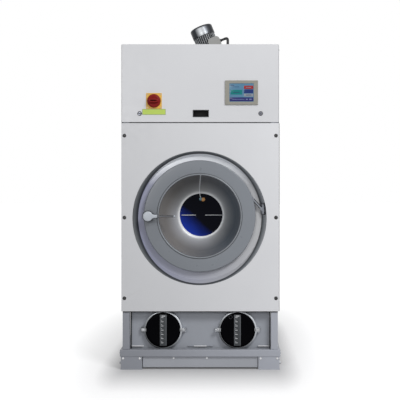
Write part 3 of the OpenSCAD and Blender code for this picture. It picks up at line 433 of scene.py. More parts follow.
def glass_material():
    """Dark blue sight glass, with painted light: brighter blue towards its lower left."""
    n = Surface("sight_glass")
    x, _, z = n.axes()
    left, down = -0.62, -0.78
    along = n.math("ADD", n.math("MULTIPLY", x, left), n.math("MULTIPLY", z, down))
    along = n.math("ADD", along, n.math("MULTIPLY", n.noise(9), 0.05))
    middle = down * DOOR[1] * MM
    # Painted light: the blue brightens towards the lower left.
    painted_blue_light = n.ramp(along, middle + 0.055, middle + 0.165)
    n.set(Base_Color=n.mix(painted_blue_light, srgb(4, 6, 20), srgb(32, 60, 176)))
    n.set(Roughness=n.cloud(30, 0.05, 0.09, 2.0))
    n.set(Transmission_Weight=0.04, Specular_IOR_Level=0.03)
    return n.material


def fan_place(n):
    """Places in the fan motor's own frame, in metres: across it, along it, from its axis."""
    local = n.add("ShaderNodeMapping", {
        "Vector": n.coords, "Location": tuple(fan_frame.translation),
        "Rotation": (0.0, -FAN_TILT, 0.0)}, vector_type="TEXTURE").outputs["Vector"]
    x, y, z = n.axes(local)
    return x, z, n.hypot(x, y)


def cowl_material():
    """Dark lacquer on pressed steel, with a painted highlight in a band along its side
    and painted shade towards the band's edges.
    """
    n = Surface("cowl_painted_sheen")
    across, along, radius = fan_place(n)
    # Painted highlight: bright across the middle of the side, darker towards its edges.
    painted_highlight_band = n.bands(n.ramp(across, -COWL_R * MM, COWL_R * MM), (
        (0.0, (34, 36, 39)), (0.20, (44, 46, 50)), (0.37, (196, 199, 202)),
        (0.47, (192, 195, 198)), (0.66, (98, 101, 106)), (0.84, (50, 52, 56)),
        (1.0, (40, 42, 46))))
    # The painted highlight ends where the side bends over to the grille.
    side = n.math("MULTIPLY", n.ramp(radius, 0.062, 0.074), n.ramp(along, 0.050, 0.060, 1.0, 0.0))
    base = n.mix(side, srgb(50, 52, 56), painted_highlight_band)
    n.set(Base_Color=n.mix(n.cloud(5, 0.0, 0.15), base, srgb(84, 86, 90)), Metallic=0.9)
    n.set(Roughness=n.cloud(24, 0.33, 0.42))
    n.bump(n.noise(620), 0.02, 0.0006)
    return n.material


def motor_material():
    """Cast aluminium with painted shade: light on the tips of the fins, dark between them."""
    n = Surface("motor_cast")
    tip = n.ramp(fan_place(n)[2], 0.0675, 0.0745)
    cast = n.cloud(60)
    light = n.mix(cast, srgb(160, 163, 166), srgb(184, 187, 190))
    # Painted shade between the fins.
    n.set(Base_Color=n.mix(tip, srgb(34, 36, 40), light), Metallic=0.2)
    n.set(Roughness=n.ramp(cast, 0.0, 1.0, 0.42, 0.52))
    n.bump(n.noise(500), 0.15, 0.0005)
    return n.material


def display_material(name, rgb):
    """A lit area of the display: its colour, faint pixel rows and a little light."""
    n = Surface(name)
    rows = n.ramp(n.noise(3.0, 1.0, n.scaled(1, 1, 900)), 0.3, 0.7, 0.0, 0.12)
    tint = n.mix(rows, srgb(*rgb), shade(rgb, 0.8))
    n.set(Base_Color=tint, Emission_Color=tint, Emission_Strength=0.1)
    n.set(Roughness=n.cloud(50, 0.14, 0.22, 2.0), Specular_IOR_Level=0.2)
    return n.material


surround_paint = surround_material()
funnel_steel = funnel_material()
sight_glass = glass_material()
cowl_painted_sheen = cowl_material()
motor_cast = motor_material()

SCREEN_COLORS = {
    "back": (84, 126, 154), "teal": (18, 116, 116), "red": (150, 36, 36), "blue": (28, 50, 108),
    "pill": (132, 138, 146), "navy": (40, 42, 100), "dark": (44, 62, 98),
    "line": (112, 124, 162)}
screen = {name: display_material(f"screen_{name}", rgb) for name, rgb in SCREEN_COLORS.items()}


# ---- The CAD nodes ----

def by_node(groups):
    """Turns values with the names of their nodes into a value for each node."""
    return {name: value for value, names in groups.items() for name in names.split()}


NODE_MATERIALS = by_node({
    base_paint: "base_frame body_frame",
    foot_paint: "feet", kick_paint: "kick_plate",
    side_paint: "left_side_panel right_side_panel rear_panel top_panel control_box",
    panel_paint: "upper_front_panel", lower_paint: "lower_front_panel",
    recess_paint: "recess_panel", frame_paint: "door_hinge_bracket",
    screw_black: "panel_screws",
    zinc: "base_bolts panel_hinge drum_shaft cover_knob_left cover_knob_right",
    lock_metal: "lock_left lock_right",
    pull_black: "pull_recess", bezel_plastic: "screen_bezel",
    screen["back"]: "screen_display", label_film: "label_plate",
    yellow_plastic: "switch_plate", red_plastic: "switch_knob",
    surround_paint: "door_surround", door_paint: "door_disc",
    funnel_steel: "door_funnel", sight_glass: "door_glass",
    gasket_rubber: "door_gasket", arm_paint: "door_hinge_arm",
    handle_metal: "door_handle",
    drum_steel: "outer_drum drum_cage",
    cast_iron: "bearing_housing drum_pulley motor_pulley",
    motor_blue: "drive_motor", belt_rubber: "drive_belt",
    tank_paint: "solvent_tanks", ring_steel["left"]: "cover_necks",
    lid_plastic: "tank_lid_left tank_lid_right",
    strip_plastic: "level_window_left level_window_right",
    pump_green: "solvent_pump", compressor_black: "compressor",
    brass: "rear_connections",
    galvanised: "solvent_filter still air_duct fan_housing fan_impeller",
    motor_cast: "fan_motor_body", cowl_painted_sheen: "fan_cowl",
    box_cast: "terminal_box", hose_plastic: "motor_conduit",
    black_plastic: "conduit_glands"})

# Radius in millimetres of the rounded edges that the folded and cast parts have.
EDGE_RADIUS = by_node({
    0.4: "label_plate",
    0.6: "door_disc fan_motor_body",
    0.8: "kick_plate left_side_panel right_side_panel upper_front_panel door_surround pull_recess",
    1.0: "door_hinge_bracket",
    1.2: "cover_necks fan_housing",
    1.4: "switch_plate tank_lid_left tank_lid_right",
    1.5: "air_duct control_box",
    1.6: "feet screen_bezel level_window_left level_window_right",
    1.8: "door_hinge_arm",
    2.0: "solvent_tanks",
    3.0: "base_frame body_frame drive_motor solvent_pump solvent_filter still terminal_box",
    6.0: "compressor"})

# Sheets with cut-outs keep the flat shading of their exact faces.
FLAT_SHEETS = ("lower_front_panel", "recess_panel", "rear_panel", "top_panel")


def dress(name, material):
    """Gives a CAD node its material, rounded edges and smooth shading."""
    obj = nodes[name]
    obj.data.materials.clear()
    obj.data.materials.append(material)
    weld = obj.modifiers.new("weld", "WELD")
    weld.merge_threshold = 0.02 * MM
    if name in EDGE_RADIUS:
        bevel = obj.modifiers.new("bevel", "BEVEL")
        bevel.width = EDGE_RADIUS[name] * MM
        bevel.segments = 2
        bevel.limit_method = "ANGLE"
        bevel.angle_limit = radians(35)
        bevel.use_clamp_overlap = True
    if name not in FLAT_SHEETS:
        smooth = obj.modifiers.new("normals", "WEIGHTED_NORMAL")
        smooth.keep_sharp = True
        smooth.weight = 80


for node_name, node_material in NODE_MATERIALS.items():
    dress(node_name, node_material)


# ---- Tools for shapes ----

def arc(cx, cz, r, start, end, steps):
    """Points on a circle, angles in degrees."""
    return [(cx + r * cos(radians(start + (end - start) * i / steps)),
             cz + r * sin(radians(start + (end - start) * i / steps)))
            for i in range(steps + 1)]


def rounded(x, z, r, steps=6):
    """The outline of a rectangle between ranges x and z with round corners."""
    return (arc(x[1] - r, z[0] + r, r, -90, 0, steps) + arc(x[1] - r, z[1] - r, r, 0, 90, steps)
            + arc(x[0] + r, z[1] - r, r, 90, 180, steps)
            + arc(x[0] + r, z[0] + r, r, 180, 270, steps))


class Piece:
    """Collects shapes into one mesh. A shape with a matrix is drawn in the matrix's frame."""

    def __init__(self):
        self.mesh = bmesh.new()
        self.materials = []

    def add(self, points, faces, material):
        """Points are already in metres."""
        if material not in self.materials:
            self.materials.append(material)
        verts = [self.mesh.verts.new(p) for p in points]
        for face in faces:
            corners = list(dict.fromkeys(face))
            if len(corners) > 2:
                made = self.mesh.faces.new([verts[i] for i in corners])
                made.material_index = self.materials.index(material)

    def lathe(self, profile, material, centre=DOOR, turns=128, matrix=None):
        """Turns a closed profile of (radius, depth) points round an axis along Y."""
        points, rows = [], []
        for r, y in profile:
            steps = turns if r > 0 else 1
            rows.append(range(len(points), len(points) + steps))
            for k in range(steps):
                a = 2 * pi * k / turns
                p = Vector((r * cos(a), y, r * sin(a)))
                points.append(matrix @ (p * MM) if matrix
                              else place(centre[0] + p.x, p.y, centre[1] + p.z))
        faces = [[a[k % len(a)], a[(k + 1) % len(a)], b[(k + 1) % len(b)], b[k % len(b)]]
                 for a, b in zip(rows, rows[1:] + rows[:1]) for k in range(turns)]
        self.add(points, faces, material)

    def block(self, x, y, z, material, bevel=0.0, segments=2, matrix=None):
        """A box between ranges x, y and z, with rounded edges."""
        made = bmesh.new()
        bmesh.ops.create_cube(made, size=1.0)
        for v in made.verts:
            v.co = Vector([limits[c > 0] for limits, c in zip((x, y, z), v.co)])
        if bevel > 0:
            bmesh.ops.bevel(made, geom=made.edges[:], offset=bevel, segments=segments,
                            profile=0.5, affect="EDGES", clamp_overlap=True)
        self.take(made, material, matrix)

    def border(self, x, y, z, width, material, bevel=0.0):
        """Four strips along the inside of a rectangle."""
        (x0, x1), (z0, z1) = x, z
        between = (z0 + width, z1 - width)
        for across, up in ((x, (z0, z0 + width)), (x, (z1 - width, z1)),
                           ((x0, x0 + width), between), ((x1 - width, x1), between)):
            self.block(across, y, up, material, bevel)

    def slab(self, outline, y, material, bevel=0.0):
        """A plate between two depths from an outline of (x, z) points, front edge rounded."""
        made = bmesh.new()
        face = made.faces.new([made.verts.new((px, y[1], pz)) for px, pz in outline])
        result = bmesh.ops.extrude_face_region(made, geom=[face])
        for v in result["geom"]:
            if isinstance(v, bmesh.types.BMVert):
                v.co.y = y[0]
        if bevel > 0:
            front = [e for e in made.edges if all(abs(v.co.y - y[0]) < 1e-6 for v in e.verts)]
            bmesh.ops.bevel(made, geom=front, offset=bevel, segments=3, profile=0.5,
                            affect="EDGES", clamp_overlap=True)
        bmesh.ops.recalc_face_normals(made, faces=made.faces[:])
        self.take(made, material)

    def take(self, made, material, matrix=None):
        """Adds a bmesh drawn in millimetres."""
        made.verts.index_update()
        points = [matrix @ (v.co * MM) if matrix else place(*v.co) for v in made.verts]
        self.add(points, [[v.index for v in f.verts] for f in made.faces], material)
        made.free()

    def rod(self, points, radius, material, sides=16):
        """A round bar along points in metres, with a radius in millimetres or one for each."""
        radii = radius if isinstance(radius, list) else [radius] * len(points)
        up = (points[1] - points[0]).normalized().orthogonal().normalized()
        verts = []
        for i, p in enumerate(points):
            along = (points[min(i + 1, len(points) - 1)] - points[max(i - 1, 0)]).normalized()
            up = (up - along * up.dot(along)).normalized()
            side = along.cross(up)
            for k in range(sides):
                a = 2 * pi * k / sides
                verts.append(p + (up * cos(a) + side * sin(a)) * radii[i] * MM)
        rings = [range(i * sides, (i + 1) * sides) for i in range(len(points))]
        faces = [[a[k], a[(k + 1) % sides], b[(k + 1) % sides], b[k]]
                 for a, b in zip(rings, rings[1:]) for k in range(sides)]
        self.add(verts, faces + [rings[0][::-1], rings[-1]], material)

    def done(self, name, body, slot, *stands_for, angle=32):
        """Makes the piece, which rides on a body and stands for CAD nodes, if any are named."""
        bmesh.ops.remove_doubles(self.mesh, verts=self.mesh.verts[:], dist=0.005 * MM)
        bmesh.ops.recalc_face_normals(self.mesh, faces=self.mesh.faces[:])
        mesh = bpy.data.meshes.new(name)
        self.mesh.to_mesh(mesh)
        self.mesh.free()
        for material in self.materials:
            mesh.materials.append(material)
        mesh.shade_smooth()
        mesh.set_sharp_from_angle(angle=radians(angle))
        obj = show(name, mesh)
        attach(obj, body)
        if stands_for:
            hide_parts(*stands_for)
        return obj


# ---- Stage and light ----

def floor_material():
    """White paper whose glow is turned down close to the machine as a painted shadow, and
    which keeps the machine's cast shadow too.
    """
    n = Surface("floor_white")
    x, y, _ = n.axes()
    beyond = []
    for along, half, stretch in ((x, 0.46, 3.5), (y, 0.72, 1.0)):
        past = n.math("SUBTRACT", n.math("ABSOLUTE", along), half)
        beyond.append(n.math("MULTIPLY", n.math("MAXIMUM", past, 0.0), stretch))
    distance = n.hypot(*beyond)
    # Painted shadow: the glow is turned down close to the machine.
    glow_with_painted_shadow = n.ramp(distance, 0.0, 0.60, 0.06, 0.58)
    strength = n.math("ADD", glow_with_painted_shadow, n.ramp(distance, 0.60, 2.2, 0.0, 0.34))
    diffuse = n.add("ShaderNodeBsdfDiffuse", {"Color": (0.54, 0.54, 0.55, 1)}).outputs[0]
    glow = n.add("ShaderNodeEmission", {"Color": (1, 1, 1, 1), "Strength": strength}).outputs[0]
    both = n.add("ShaderNodeAddShader", {0: diffuse, 1: glow}).outputs[0]
    pick = n.add("ShaderNodeMixShader", {0: n.shown(), 1: diffuse, 2: both}).outputs[0]
    n.feed(n.tree.nodes["Material Output"].inputs["Surface"], pick)
    n.tree.nodes.remove(n.shader)
    return n.material


def stage_floor():
    mesh = bpy.data.meshes.new("floor")
    size = 60
    mesh.from_pydata([(-size, -size, 0), (size, -size, 0), (size, size, 0), (-size, size, 0)],
                     [], [(0, 1, 2, 3)])
    mesh.materials.append(floor_material())
    show("floor", mesh)


def world_light():
    """A white backdrop that is seen brighter than it shines."""
    world = bpy.data.worlds.new("studio")
    scene.world = world
    world.use_nodes = True
    n = Nodes(world.node_tree)
    background = n.tree.nodes["Background"]
    n.feed(background.inputs["Color"], (1, 1, 1, 1))
    n.feed(background.inputs["Strength"], n.ramp(n.shown(), 0.0, 1.0, 0.36, 1.0))


def lamp(name, location, target, size, watts):
    """A rectangular studio lamp that is aimed at a point."""
    data = bpy.data.lights.new(name, "AREA")
    data.shape = "RECTANGLE"
    data.size, data.size_y = size
    data.energy = watts
    obj = show(name, data)
    obj.location = location
    aim = Vector(target) - Vector(location)
    obj.rotation_euler = aim.to_track_quat("-Z", "Y").to_euler()


stage_floor()
world_light()
lamp("key_light", (2.6, -4.6, 4.4), (0, -0.6, 1.1), (2.0, 1.8), 163)
lamp("front_light", (-1.6, -6.4, 2.2), (0, -0.7, 1.1), (1.1, 1.1), 44)
scene.view_settings.view_transform = "Standard"


# ---- Hatch: screen, switch, label, locks ----

def screen_page():
    """The page on the display: plain areas and bars, slightly proud of its face."""
    (x0, x1), (face, _), (z0, z1) = ranges("screen_display")
    w, h = x1 - x0, z1 - z0
    p = Piece()

    def area(u, v, name, depth=0.3, radius=1.5):
        """An area between shares u of the display's width and v of its height."""
        p.slab(rounded((x0 + u[0] * w, x0 + u[1] * w), (z0 + v[0] * h, z0 + v[1] * h), radius, 3),
               (face - depth, face), screen[name], bevel=0.1)

    def bar(u, v, name, radius=0.8):
        area(u, v, name, 0.45, radius)

    area((0.012, 0.988), (0.24, 0.985), "back", 0.15)
    area((0.05, 0.53), (0.39, 0.65), "teal")
    bar((0.16, 0.42), (0.495, 0.53), "dark")
    area((0.60, 0.985), (0.70, 0.88), "red")
    bar((0.68, 0.90), (0.775, 0.805), "pill")
    area((0.60, 0.985), (0.46, 0.68), "blue")
    area((0.60, 0.985), (0.28, 0.44), "pill")
    bar((0.69, 0.90), (0.345, 0.38), "dark")
    area((0.012, 0.988), (0.02, 0.235), "navy")
    bar((0.10, 0.62), (0.115, 0.14), "line", 0.5)
    bar((0.68, 0.76), (0.10, 0.16), "line")
    bar((0.82, 0.92), (0.10, 0.16), "line")
    bar((0.03, 0.20), (0.885, 0.92), "dark")
    bar((0.08, 0.40), (0.80, 0.825), "dark")
    p.done("screen_page", "hatch", "display_glass")


def main_switch():
    """The red rotary knob: a flanged disc with a raised grip and three lock holes."""
    cx, cz = SWITCH
    seat, front, rim_r = -3.6, -38.0, 41.0
    p = Piece()
    p.lathe([(0, -19.3), (24, -19.3), (27, -20.8), (31, -21.2), (33, -20.2), (33.6, -18.4),
             (34.4, -16.2), (37.5, -15.4), (40.2, -13.8), (rim_r, -11.5), (rim_r, seat), (0, seat)],
            red_plastic, SWITCH)
    teeth = 24
    for k in range(teeth):
        p.block((33.4, 40.6), (-17.0, -10.0), (-1.6, 1.6), red_plastic, 0.7,
                matrix=turned(cx, 0, cz, -360 * k / teeth, "Y"))
    upper = [(29, 7), (24, 9.6), (8, 11), (-8, 11), (-24, 9.6), (-29, 7)]
    grip = [(x, -z) for x, z in reversed(upper)] + upper
    p.slab([(cx + x, cz + z) for x, z in grip], (front, -18), red_plastic, bevel=2.4)
    p.slab([(cx + x * 0.62, cz + z * 0.34) for x, z in grip], (front, -37.2), red_shadow)
    for x in (-18, 0, 18):
        p.lathe([(0, front), (3.2, front), (3.2, -37.0), (0, -37.0)], red_shadow, (cx + x, cz),
                turns=24)
    p.lathe([(0, seat), (7, seat), (7, -3.1), (5.9, -3.1), (5.9, 40), (0, 40)], zinc, SWITCH,
            turns=32)
    p.done("switch_knob_detail", "main_switch", "red_plastic", "switch_knob")


def screw(piece, x, z, face, r, material):
    """A small domed screw head with a slot in it."""
    piece.lathe([(0, face - 0.9), (r * 0.5, face - 0.85), (r * 0.85, face - 0.55), (r, face),
                 (0, face)], material, (x, z), turns=24)
    piece.block((x - r * 0.75, x + r * 0.75), (face - 0.95, face - 0.5), (z - 0.35, z + 0.35),
                screw_black)


def switch_plate_trim():
    """A thin raised rim and four screws on the yellow plate."""
    face = -3.0
    p = Piece()
    p.lathe([(42.5, face), (43.0, -3.6), (45.2, -3.6), (45.8, face)], yellow_plastic, SWITCH)
    for x in (-40, 40):
        for z in (-40, 40):
            screw(p, SWITCH[0] + x, SWITCH[1] + z, face, 3.2, zinc)
    p.done("switch_plate_trim", "hatch", "yellow_plastic")


def label_trim():
    """The thin border of the label plate."""
    x, (face, _), z = ranges("label_plate")
    p = Piece()
    p.border(x, (face - 0.25, face + 0.2), z, 1.6, label_edge)
    p.done("label_border", "hatch", "green_plastic")


def lock(side):
    """A quarter-turn lock: a dished ring, a slotted barrel, the stem and the cam."""
    cx, cz = pivot(f"{side}_lock_turn")
    p = Piece()
    p.lathe([(10.4, -1.2), (11, -2.6), (12.4, -3.0), (13.6, -2.2), (14, -0.3), (10.4, -0.3)],
            lock_dark, (cx, cz), turns=48)
    p.lathe([(0, -1.4), (9.6, -1.4), (10.3, -2.0), (10.4, -0.3), (0, -0.3)], lock_metal,
            (cx, cz), turns=48)
    for z in ((cz + 1.7, cz + 4.6), (cz - 4.6, cz - 1.7)):
        p.block((cx - 8.6, cx + 8.6), (-2.3, -1.0), z, lock_metal, 0.5)
    p.block((cx - 8.8, cx + 8.8), (-1.5, -1.2), (cz - 1.5, cz + 1.5), lock_dark)
    p.lathe([(0, -0.3), (9.9, -0.3), (9.9, 24), (0, 24)], zinc, (cx, cz), turns=48)
    p.block(sorted((cx, cx - SIDES[side] * 38)), (20, 24), (cz - 6, cz + 6), zinc, 1.2)
    p.done(f"lock_{side}_detail", f"{side}_lock", "zinc_steel", f"lock_{side}")


def pull_trim():
    """A raised rim round the recess."""
    x, _, z = ranges("pull_recess")
    p = Piece()
    p.border(x, (-2.6, -1.6), z, 3, pull_edge, 0.4)
    p.done("pull_rim", "hatch", "black_plastic")


# ---- Front and side panels ----

def panel_screws():
    """Black button-head screws with hexagon sockets, in dark cups."""
    head = [(3.2, -2.2), (3.4, -4.0), (6, -3.9), (8.2, -2.9), (9.6, -1.4), (10, -0.3), (9.9, 0),
            (4, 0), (4, 5.7), (0, 5.7), (0, -2.2)]
    cup = [(9.6, -0.35), (11.6, -0.3), (11.8, 0.0), (9.6, 0.0)]
    columns, rows = (-466.0, 466.0), (438.0, 934.0, 1438.0)
    p = Piece()
    for x in columns:
        for z in rows:
            p.lathe(head, screw_black, (x, z), turns=36)
            p.lathe(cup, lock_dark, (x, z), turns=36)
    p.done("panel_screw_heads", "cabinet", "black_paint", "panel_screws")


def shell_screws():
    """Black screws along the edges of the side panels and the rear panel."""
    head = [(0, -2.2), (3.2, -2.2), (3.4, -3.0), (5, -2.9), (6.8, -1.8), (7.2, -0.2), (7.2, 0.4),
            (0, 0.4)]
    side, _, (low, _) = ranges("left_side_panel")
    rear = ranges("rear_panel")[1][1]
    from_low, from_edge = 32, 34
    p = Piece()
    for z in (low + from_low, (low + TOP_Z) / 2, TOP_Z - from_low):
        for y in (from_edge, rear / 3, rear * 2 / 3, rear - from_edge):
            for s in (-1, 1):
                p.lathe(head, screw_black, turns=24,
                        matrix=turned(s * abs(side[0]), y, z, 90 * s, "Z"))
        for x in (-450, 0, 450):
            p.lathe(head, screw_black, turns=24, matrix=turned(x, rear, z, 180, "Z"))
    p.done("shell_screw_heads", "cabinet", "black_paint")


# ---- Door ----

FUNNEL_MOUTH_R = 252.0
FUNNEL_THROAT_R = 146.0
GLASS_R = 138.0
DISC_R = 345.0
DISC_INNER_R = 263.3


def funnel_point(degrees):
    """(radius, depth) on the funnel's inside, from 0 at its mouth to 90 at its throat."""
    front, depth, curve = 10.0, 250.0, 1.4
    out, into = cos(radians(degrees)) ** curve, sin(radians(degrees)) ** curve
    return FUNNEL_THROAT_R + (FUNNEL_MOUTH_R - FUNNEL_THROAT_R) * out, front + depth * into


def door_funnel():
    """The polished funnel with its rolled bead and the ring behind the glass."""
    p = Piece()
    wall = [funnel_point(a) for a in range(0, 90, 3)]
    back = [(r + 2.6, y + 2) for r, y in reversed(wall)]
    lip = [(FUNNEL_THROAT_R, 260), (142, 260.6), (138.4, 261.4), (GLASS_R, 262.5),
           (GLASS_R, 264), (150, 262)]
    p.lathe(wall + lip + back, funnel_steel, turns=192)
    p.lathe(arc(257, 9, 6, 0, 330, 22), bead_steel, turns=192)
    p.lathe([(154, 258), (158, 258), (158, 278), (154, 278)], funnel_steel)
    p.done("door_funnel_polished", "door", "funnel_steel", "door_funnel")


def funnel_seam():
    """The weld along the top of the funnel."""
    steps = [funnel_point(a) for a in range(1, 85, 3)]
    line = [place(DOOR[0] + 7 - y / 15, y - 0.2, DOOR[1] + r - 0.6) for r, y in steps]
    line.append(place(DOOR[0] - 10, 258, DOOR[1] + GLASS_R + 1))
    p = Piece()
    p.rod(line, 3.2, seam_weld, sides=8)
    p.done("funnel_seam", "door", "funnel_steel")


def door_disc():
    """The flat ring of the door, bent back round its edge, and the dark line inside it."""
    p = Piece()
    p.lathe([(DISC_INNER_R, 9.4), (264.4, 8.2), (266, 8)] + arc(DISC_R - 7, 15, 7, -90, 0, 9)
            + [(DISC_R, 38.6), (343.6, 40), (258, 40), (258, 37), (342, 37), (342, 15),
               (338, 11), (DISC_INNER_R, 11)], door_paint, turns=224)
    p.lathe([(263.4, 8.4), (264.3, 7.9), (265.2, 8.4), (265.2, 9), (263.4, 9)], lock_dark,
            turns=192)
    p.done("door_disc_smooth", "door", "door_paint", "door_disc")


def glass_bars():
    """Two light bars across the glass, with a gap in the middle."""
    p = Piece()
    for x0, x1 in ((-130, -38), (22, 136)):
        p.rod([place(x, 251, DOOR[1] - 1) for x in (x0, (x0 + x1) / 2, x1)], 2.4, mark_white,
              sides=12)
    p.done("glass_bars", "door", "ring_steel")


def spray_nozzle():
    """A bent tube with two coloured nuts in front of the glass, at its top. The teal of one nut
    is painted blue reflection.
    """
    p = Piece()
    p.rod([place(-13, 256, 1081), place(-10, 256, 1064), place(-4, 254, 1048)], 2.2, seam_weld,
          sides=10)
    p.lathe([(0, 246), (10, 247.5), (14, 251), (14, 254), (0, 255)], nozzle_orange, (9, 1043),
            turns=6)
    p.lathe([(0, 245), (8, 246.5), (11, 250), (11, 254), (0, 255)], nozzle_blue_reflection, (-7, 1046),
            turns=6)
    p.done("spray_nozzle", "door", "brass_fitting")


def door_lever():
    """The lever: a domed boss, a waisted neck and a rod with a bright end. A dark edge round
    the boss and the neck is painted shade.
    """
    centre = pivot("door_handle_turn")
    cx, cz = centre
    neck = ((20, 20), (30, 13), (38, 10.5), (46, 10), (53, 10.5), (57, 9))

    def outline(more=0):
        return ([(cx + x, cz - w - more) for x, w in neck]
                + [(cx + x, cz + w + more) for x, w in reversed(neck)])

    p = Piece()
    p.lathe([(0, -39.6), (22, -39.8), (27, -39.2), (29.8, -37.4), (31, -34.5), (31, -30),
             (29, -28), (16, -28), (16, 7.7), (8, 7.7), (8, 53.5), (0, 53.5)],
            handle_metal, centre, turns=72)
    p.slab(outline(), (-39, -28.5), handle_metal, bevel=2.0)
    p.done("door_lever", "handle", "door_paint", "door_handle")

    # A dark edge round the boss and the neck: painted shade.
    edge = Piece()
    edge.lathe([(28, -30.5), (34, -30.5), (34.4, -30), (34.4, -28.6), (34, -28.2), (28, -28.2)],
               edge_shade_black, centre, turns=72)
    edge.slab(outline(3), (-30, -28.2), edge_shade_black)
    edge.done("door_lever_shade_edge", "handle", "black_rubber")

    rod = Piece()
    rod.rod([place(cx + x, -30, cz) for x in (44, 100, 158)], 6.4, rod_metal, sides=28)
    tip = [(157, 7.4), (158.4, 8.8), (164, 9.0), (165.6, 8.2), (166, 6.4)]
    rod.rod([place(cx + x, -30, cz) for x, _ in tip], [r for _, r in tip], handle_metal, sides=28)
    rod.done("door_lever_rod", "handle", "door_paint")


def hinge_arm_shade_lines():
    """Dark strips along both sides of the hinge arm's face: painted shade on its edges."""
    arm_z, arm_slope = 977, 48
    arm = turned(pivot("door_hinge")[0], 0, arm_z, arm_slope, "Y")
    p = Piece()
    for edge in ((-8.2, -4.2), (4.2, 8.2)):
        p.block((-91, -21), (18.3, 21), edge, edge_shade_black, 0.5, matrix=arm)
    p.done("hinge_arm_shade_lines", "door", "black_rubber")


# ---- Tank covers ----

def tank_lid(side):
    """The dished black lid with the lugs of its hinge and of its knob."""
    s, (cx, cz), (hinge_x, knob_x) = SIDES[side], COVERS[side], LUGS[side]
    p = Piece()
    p.lathe([(0, 29.4), (88, 29.4), (90, 28.8), (94, 28.8), (96, 29.4), (104.5, 29.6),
             (107, 31.2), (108, 34), (108, 44), (0, 44)], lid_plastic, (cx, cz), turns=144)
    p.block(sorted((cx + s * 104, hinge_x)), (30, 35.5), (cz - 9, cz + 9), lug_metal, 1.2)
    p.rod([place(hinge_x, 39, cz - 9), place(hinge_x, 39, cz + 9)], 6, lug_metal, 24)
    p.block(sorted((knob_x, cx - s * 104)), (30, 35.5), (cz - 10, cz + 10), lug_metal, 1.6)
    p.done(f"tank_lid_{side}_detail", f"{side}_cover", "black_plastic", f"tank_lid_{side}")


def level_window(side):
    """The clear strip with its two rails and its white marks."""
    s, (cx, cz) = SIDES[side], COVERS[side]
    x0, x1 = sorted((cx - s * 23, cx + s * 19))
    mark_y = (22.05, 23)
    p = Piece()
    p.slab(rounded((x0, x1), (cz - 97, cz + 97), 3), (22.3, 29.6), strip_plastic, bevel=1.2)
    for x in ((x0 + 1, x0 + 6), (x1 - 6, x1 - 1)):
        p.block(x, (22.0, 24), (cz - 93, cz + 93), strip_rail, 0.6)
    for k in range(7):
        z = cz - 78 + k * 26
        p.block((x0 + 8, x0 + 22), mark_y, (z - 1.6, z + 1.6), mark_white)
        p.block((x0 + 8, x0 + 14), mark_y, (z + 8, z + 10), mark_white)
    p.block((x0 + 10, x1 - 9), mark_y, (cz + 84, cz + 90), mark_white, 0.4)
    p.done(f"level_window_{side}_detail", f"{side}_cover", "clear_plastic",
           f"level_window_{side}")


def cover_knob(side):
    """The hand knob that holds the cover: a hub on a stud, with two wings."""
    x, z = LUGS[side][1], COVERS[side][1]
    p = Piece()
    p.lathe([(0, 15.6), (6, 15.6), (8.6, 16.8), (9, 19), (9, 29.2), (3.9, 29.2), (3.9, 46),
             (0, 46)], zinc, (x, z), turns=36)
    for wing in (-1, 1):
        p.block(sorted((wing * 5, wing * 13.6)), (16, 27), (-2.6, 2.6), zinc, 2.0, segments=3,
                matrix=turned(x, 0, z, 35 * SIDES[side], "Y"))
    p.done(f"cover_knob_{side}_detail", f"{side}_knob", "zinc_steel", f"cover_knob_{side}")


def lid_mark():
    """The faint round mark at the upper left of the right lid."""
    cx, cz = COVERS["right"]
    p = Piece()
    p.lathe([(9.4, 28.7), (9.8, 28.3), (10.6, 28.3), (11, 28.7), (11, 29), (9.4, 29)],
            faint_grey, (cx - 44, cz + 80), turns=36)
    p.done("lid_mark_ring", "right_cover", "black_plastic")


def neck_ring(side):
    """The polished front of the neck that a cover sits in, with painted shade at its lower left
    and a painted highlight at its upper right.
    """
    p = Piece()
    p.lathe([(109.3, 33.4), (109.3, 30.0), (112.8, 30.0), (118.1, 33.1), (118.1, 33.4)],
            ring_steel[side], COVERS[side], turns=144)
    p.done(f"neck_ring_{side}", "cabinet", "ring_steel")


# ---- Base ----

def base_bolts():
    """Hexagon bolts with washers under the beam and at the sides. The front heads are white
    as a painted highlight.
    """
    def head(face):
        """The front of a bolt's head, to a lathe's profile."""
        return [(0, face - 4), (6.2, face - 4), (7, face - 3.2), (7, face - 0.8)]

    foot_bolts = [(s * x, -2.0) for s in (-1, 1) for x in (371.5, 473.5)]
    beam_bolts = [(-164, 10.0), (41, 10.0)]
    z = 69.0
    p = Piece()
    for x, face in foot_bolts + beam_bolts:
        # White heads: a painted highlight.
        p.lathe(head(face) + [(0, face - 0.8)], highlight_white, (x, z), turns=6)
        p.lathe([(4, face - 1), (8, face - 1), (8, face), (4, face)], zinc, (x, z), turns=32)
    p.lathe([(0, 54.5), (4.4, 54.5), (5, 55.5), (5, 60), (0, 60)], zinc, (-8, 128.0), turns=24)
    for s in (-1, 1):
        for z, depth in ((39.5, 6), (100.5, 0)):
            p.lathe(head(0) + [(8, -0.8), (8, depth), (0, depth)], zinc, turns=6,
                    matrix=turned(s * 493.5, 20, z, 90 * s, "Z"))
    p.done("base_bolt_heads", "cabinet", "zinc_steel", "base_bolts")


def gap_shade_strips():
    """Dark strips of painted shade: in the gaps beside the recessed panel, and under and at the
    right of the lower front panel.
    """
    (_, half), _, z = ranges("recess_panel")
    low_edge = ranges("lower_front_panel")[2][0]
    p = Piece()
    for s in (-1, 1):
        p.block(sorted((s * (half + 0.1), s * (half + 6.6))), (50, 68), z, gap_shade_black, 0.8)
    p.block((-477, 477), (0.8, 5.6), (low_edge - 6.5, low_edge - 0.1), gap_shade_black, 1.0)
    p.block((484.7, 487.6), (0.6, 5.6), (low_edge + 2, 1514), gap_shade_black, 0.6)
    p.done("gap_shade_strips", "cabinet", "black_rubber")


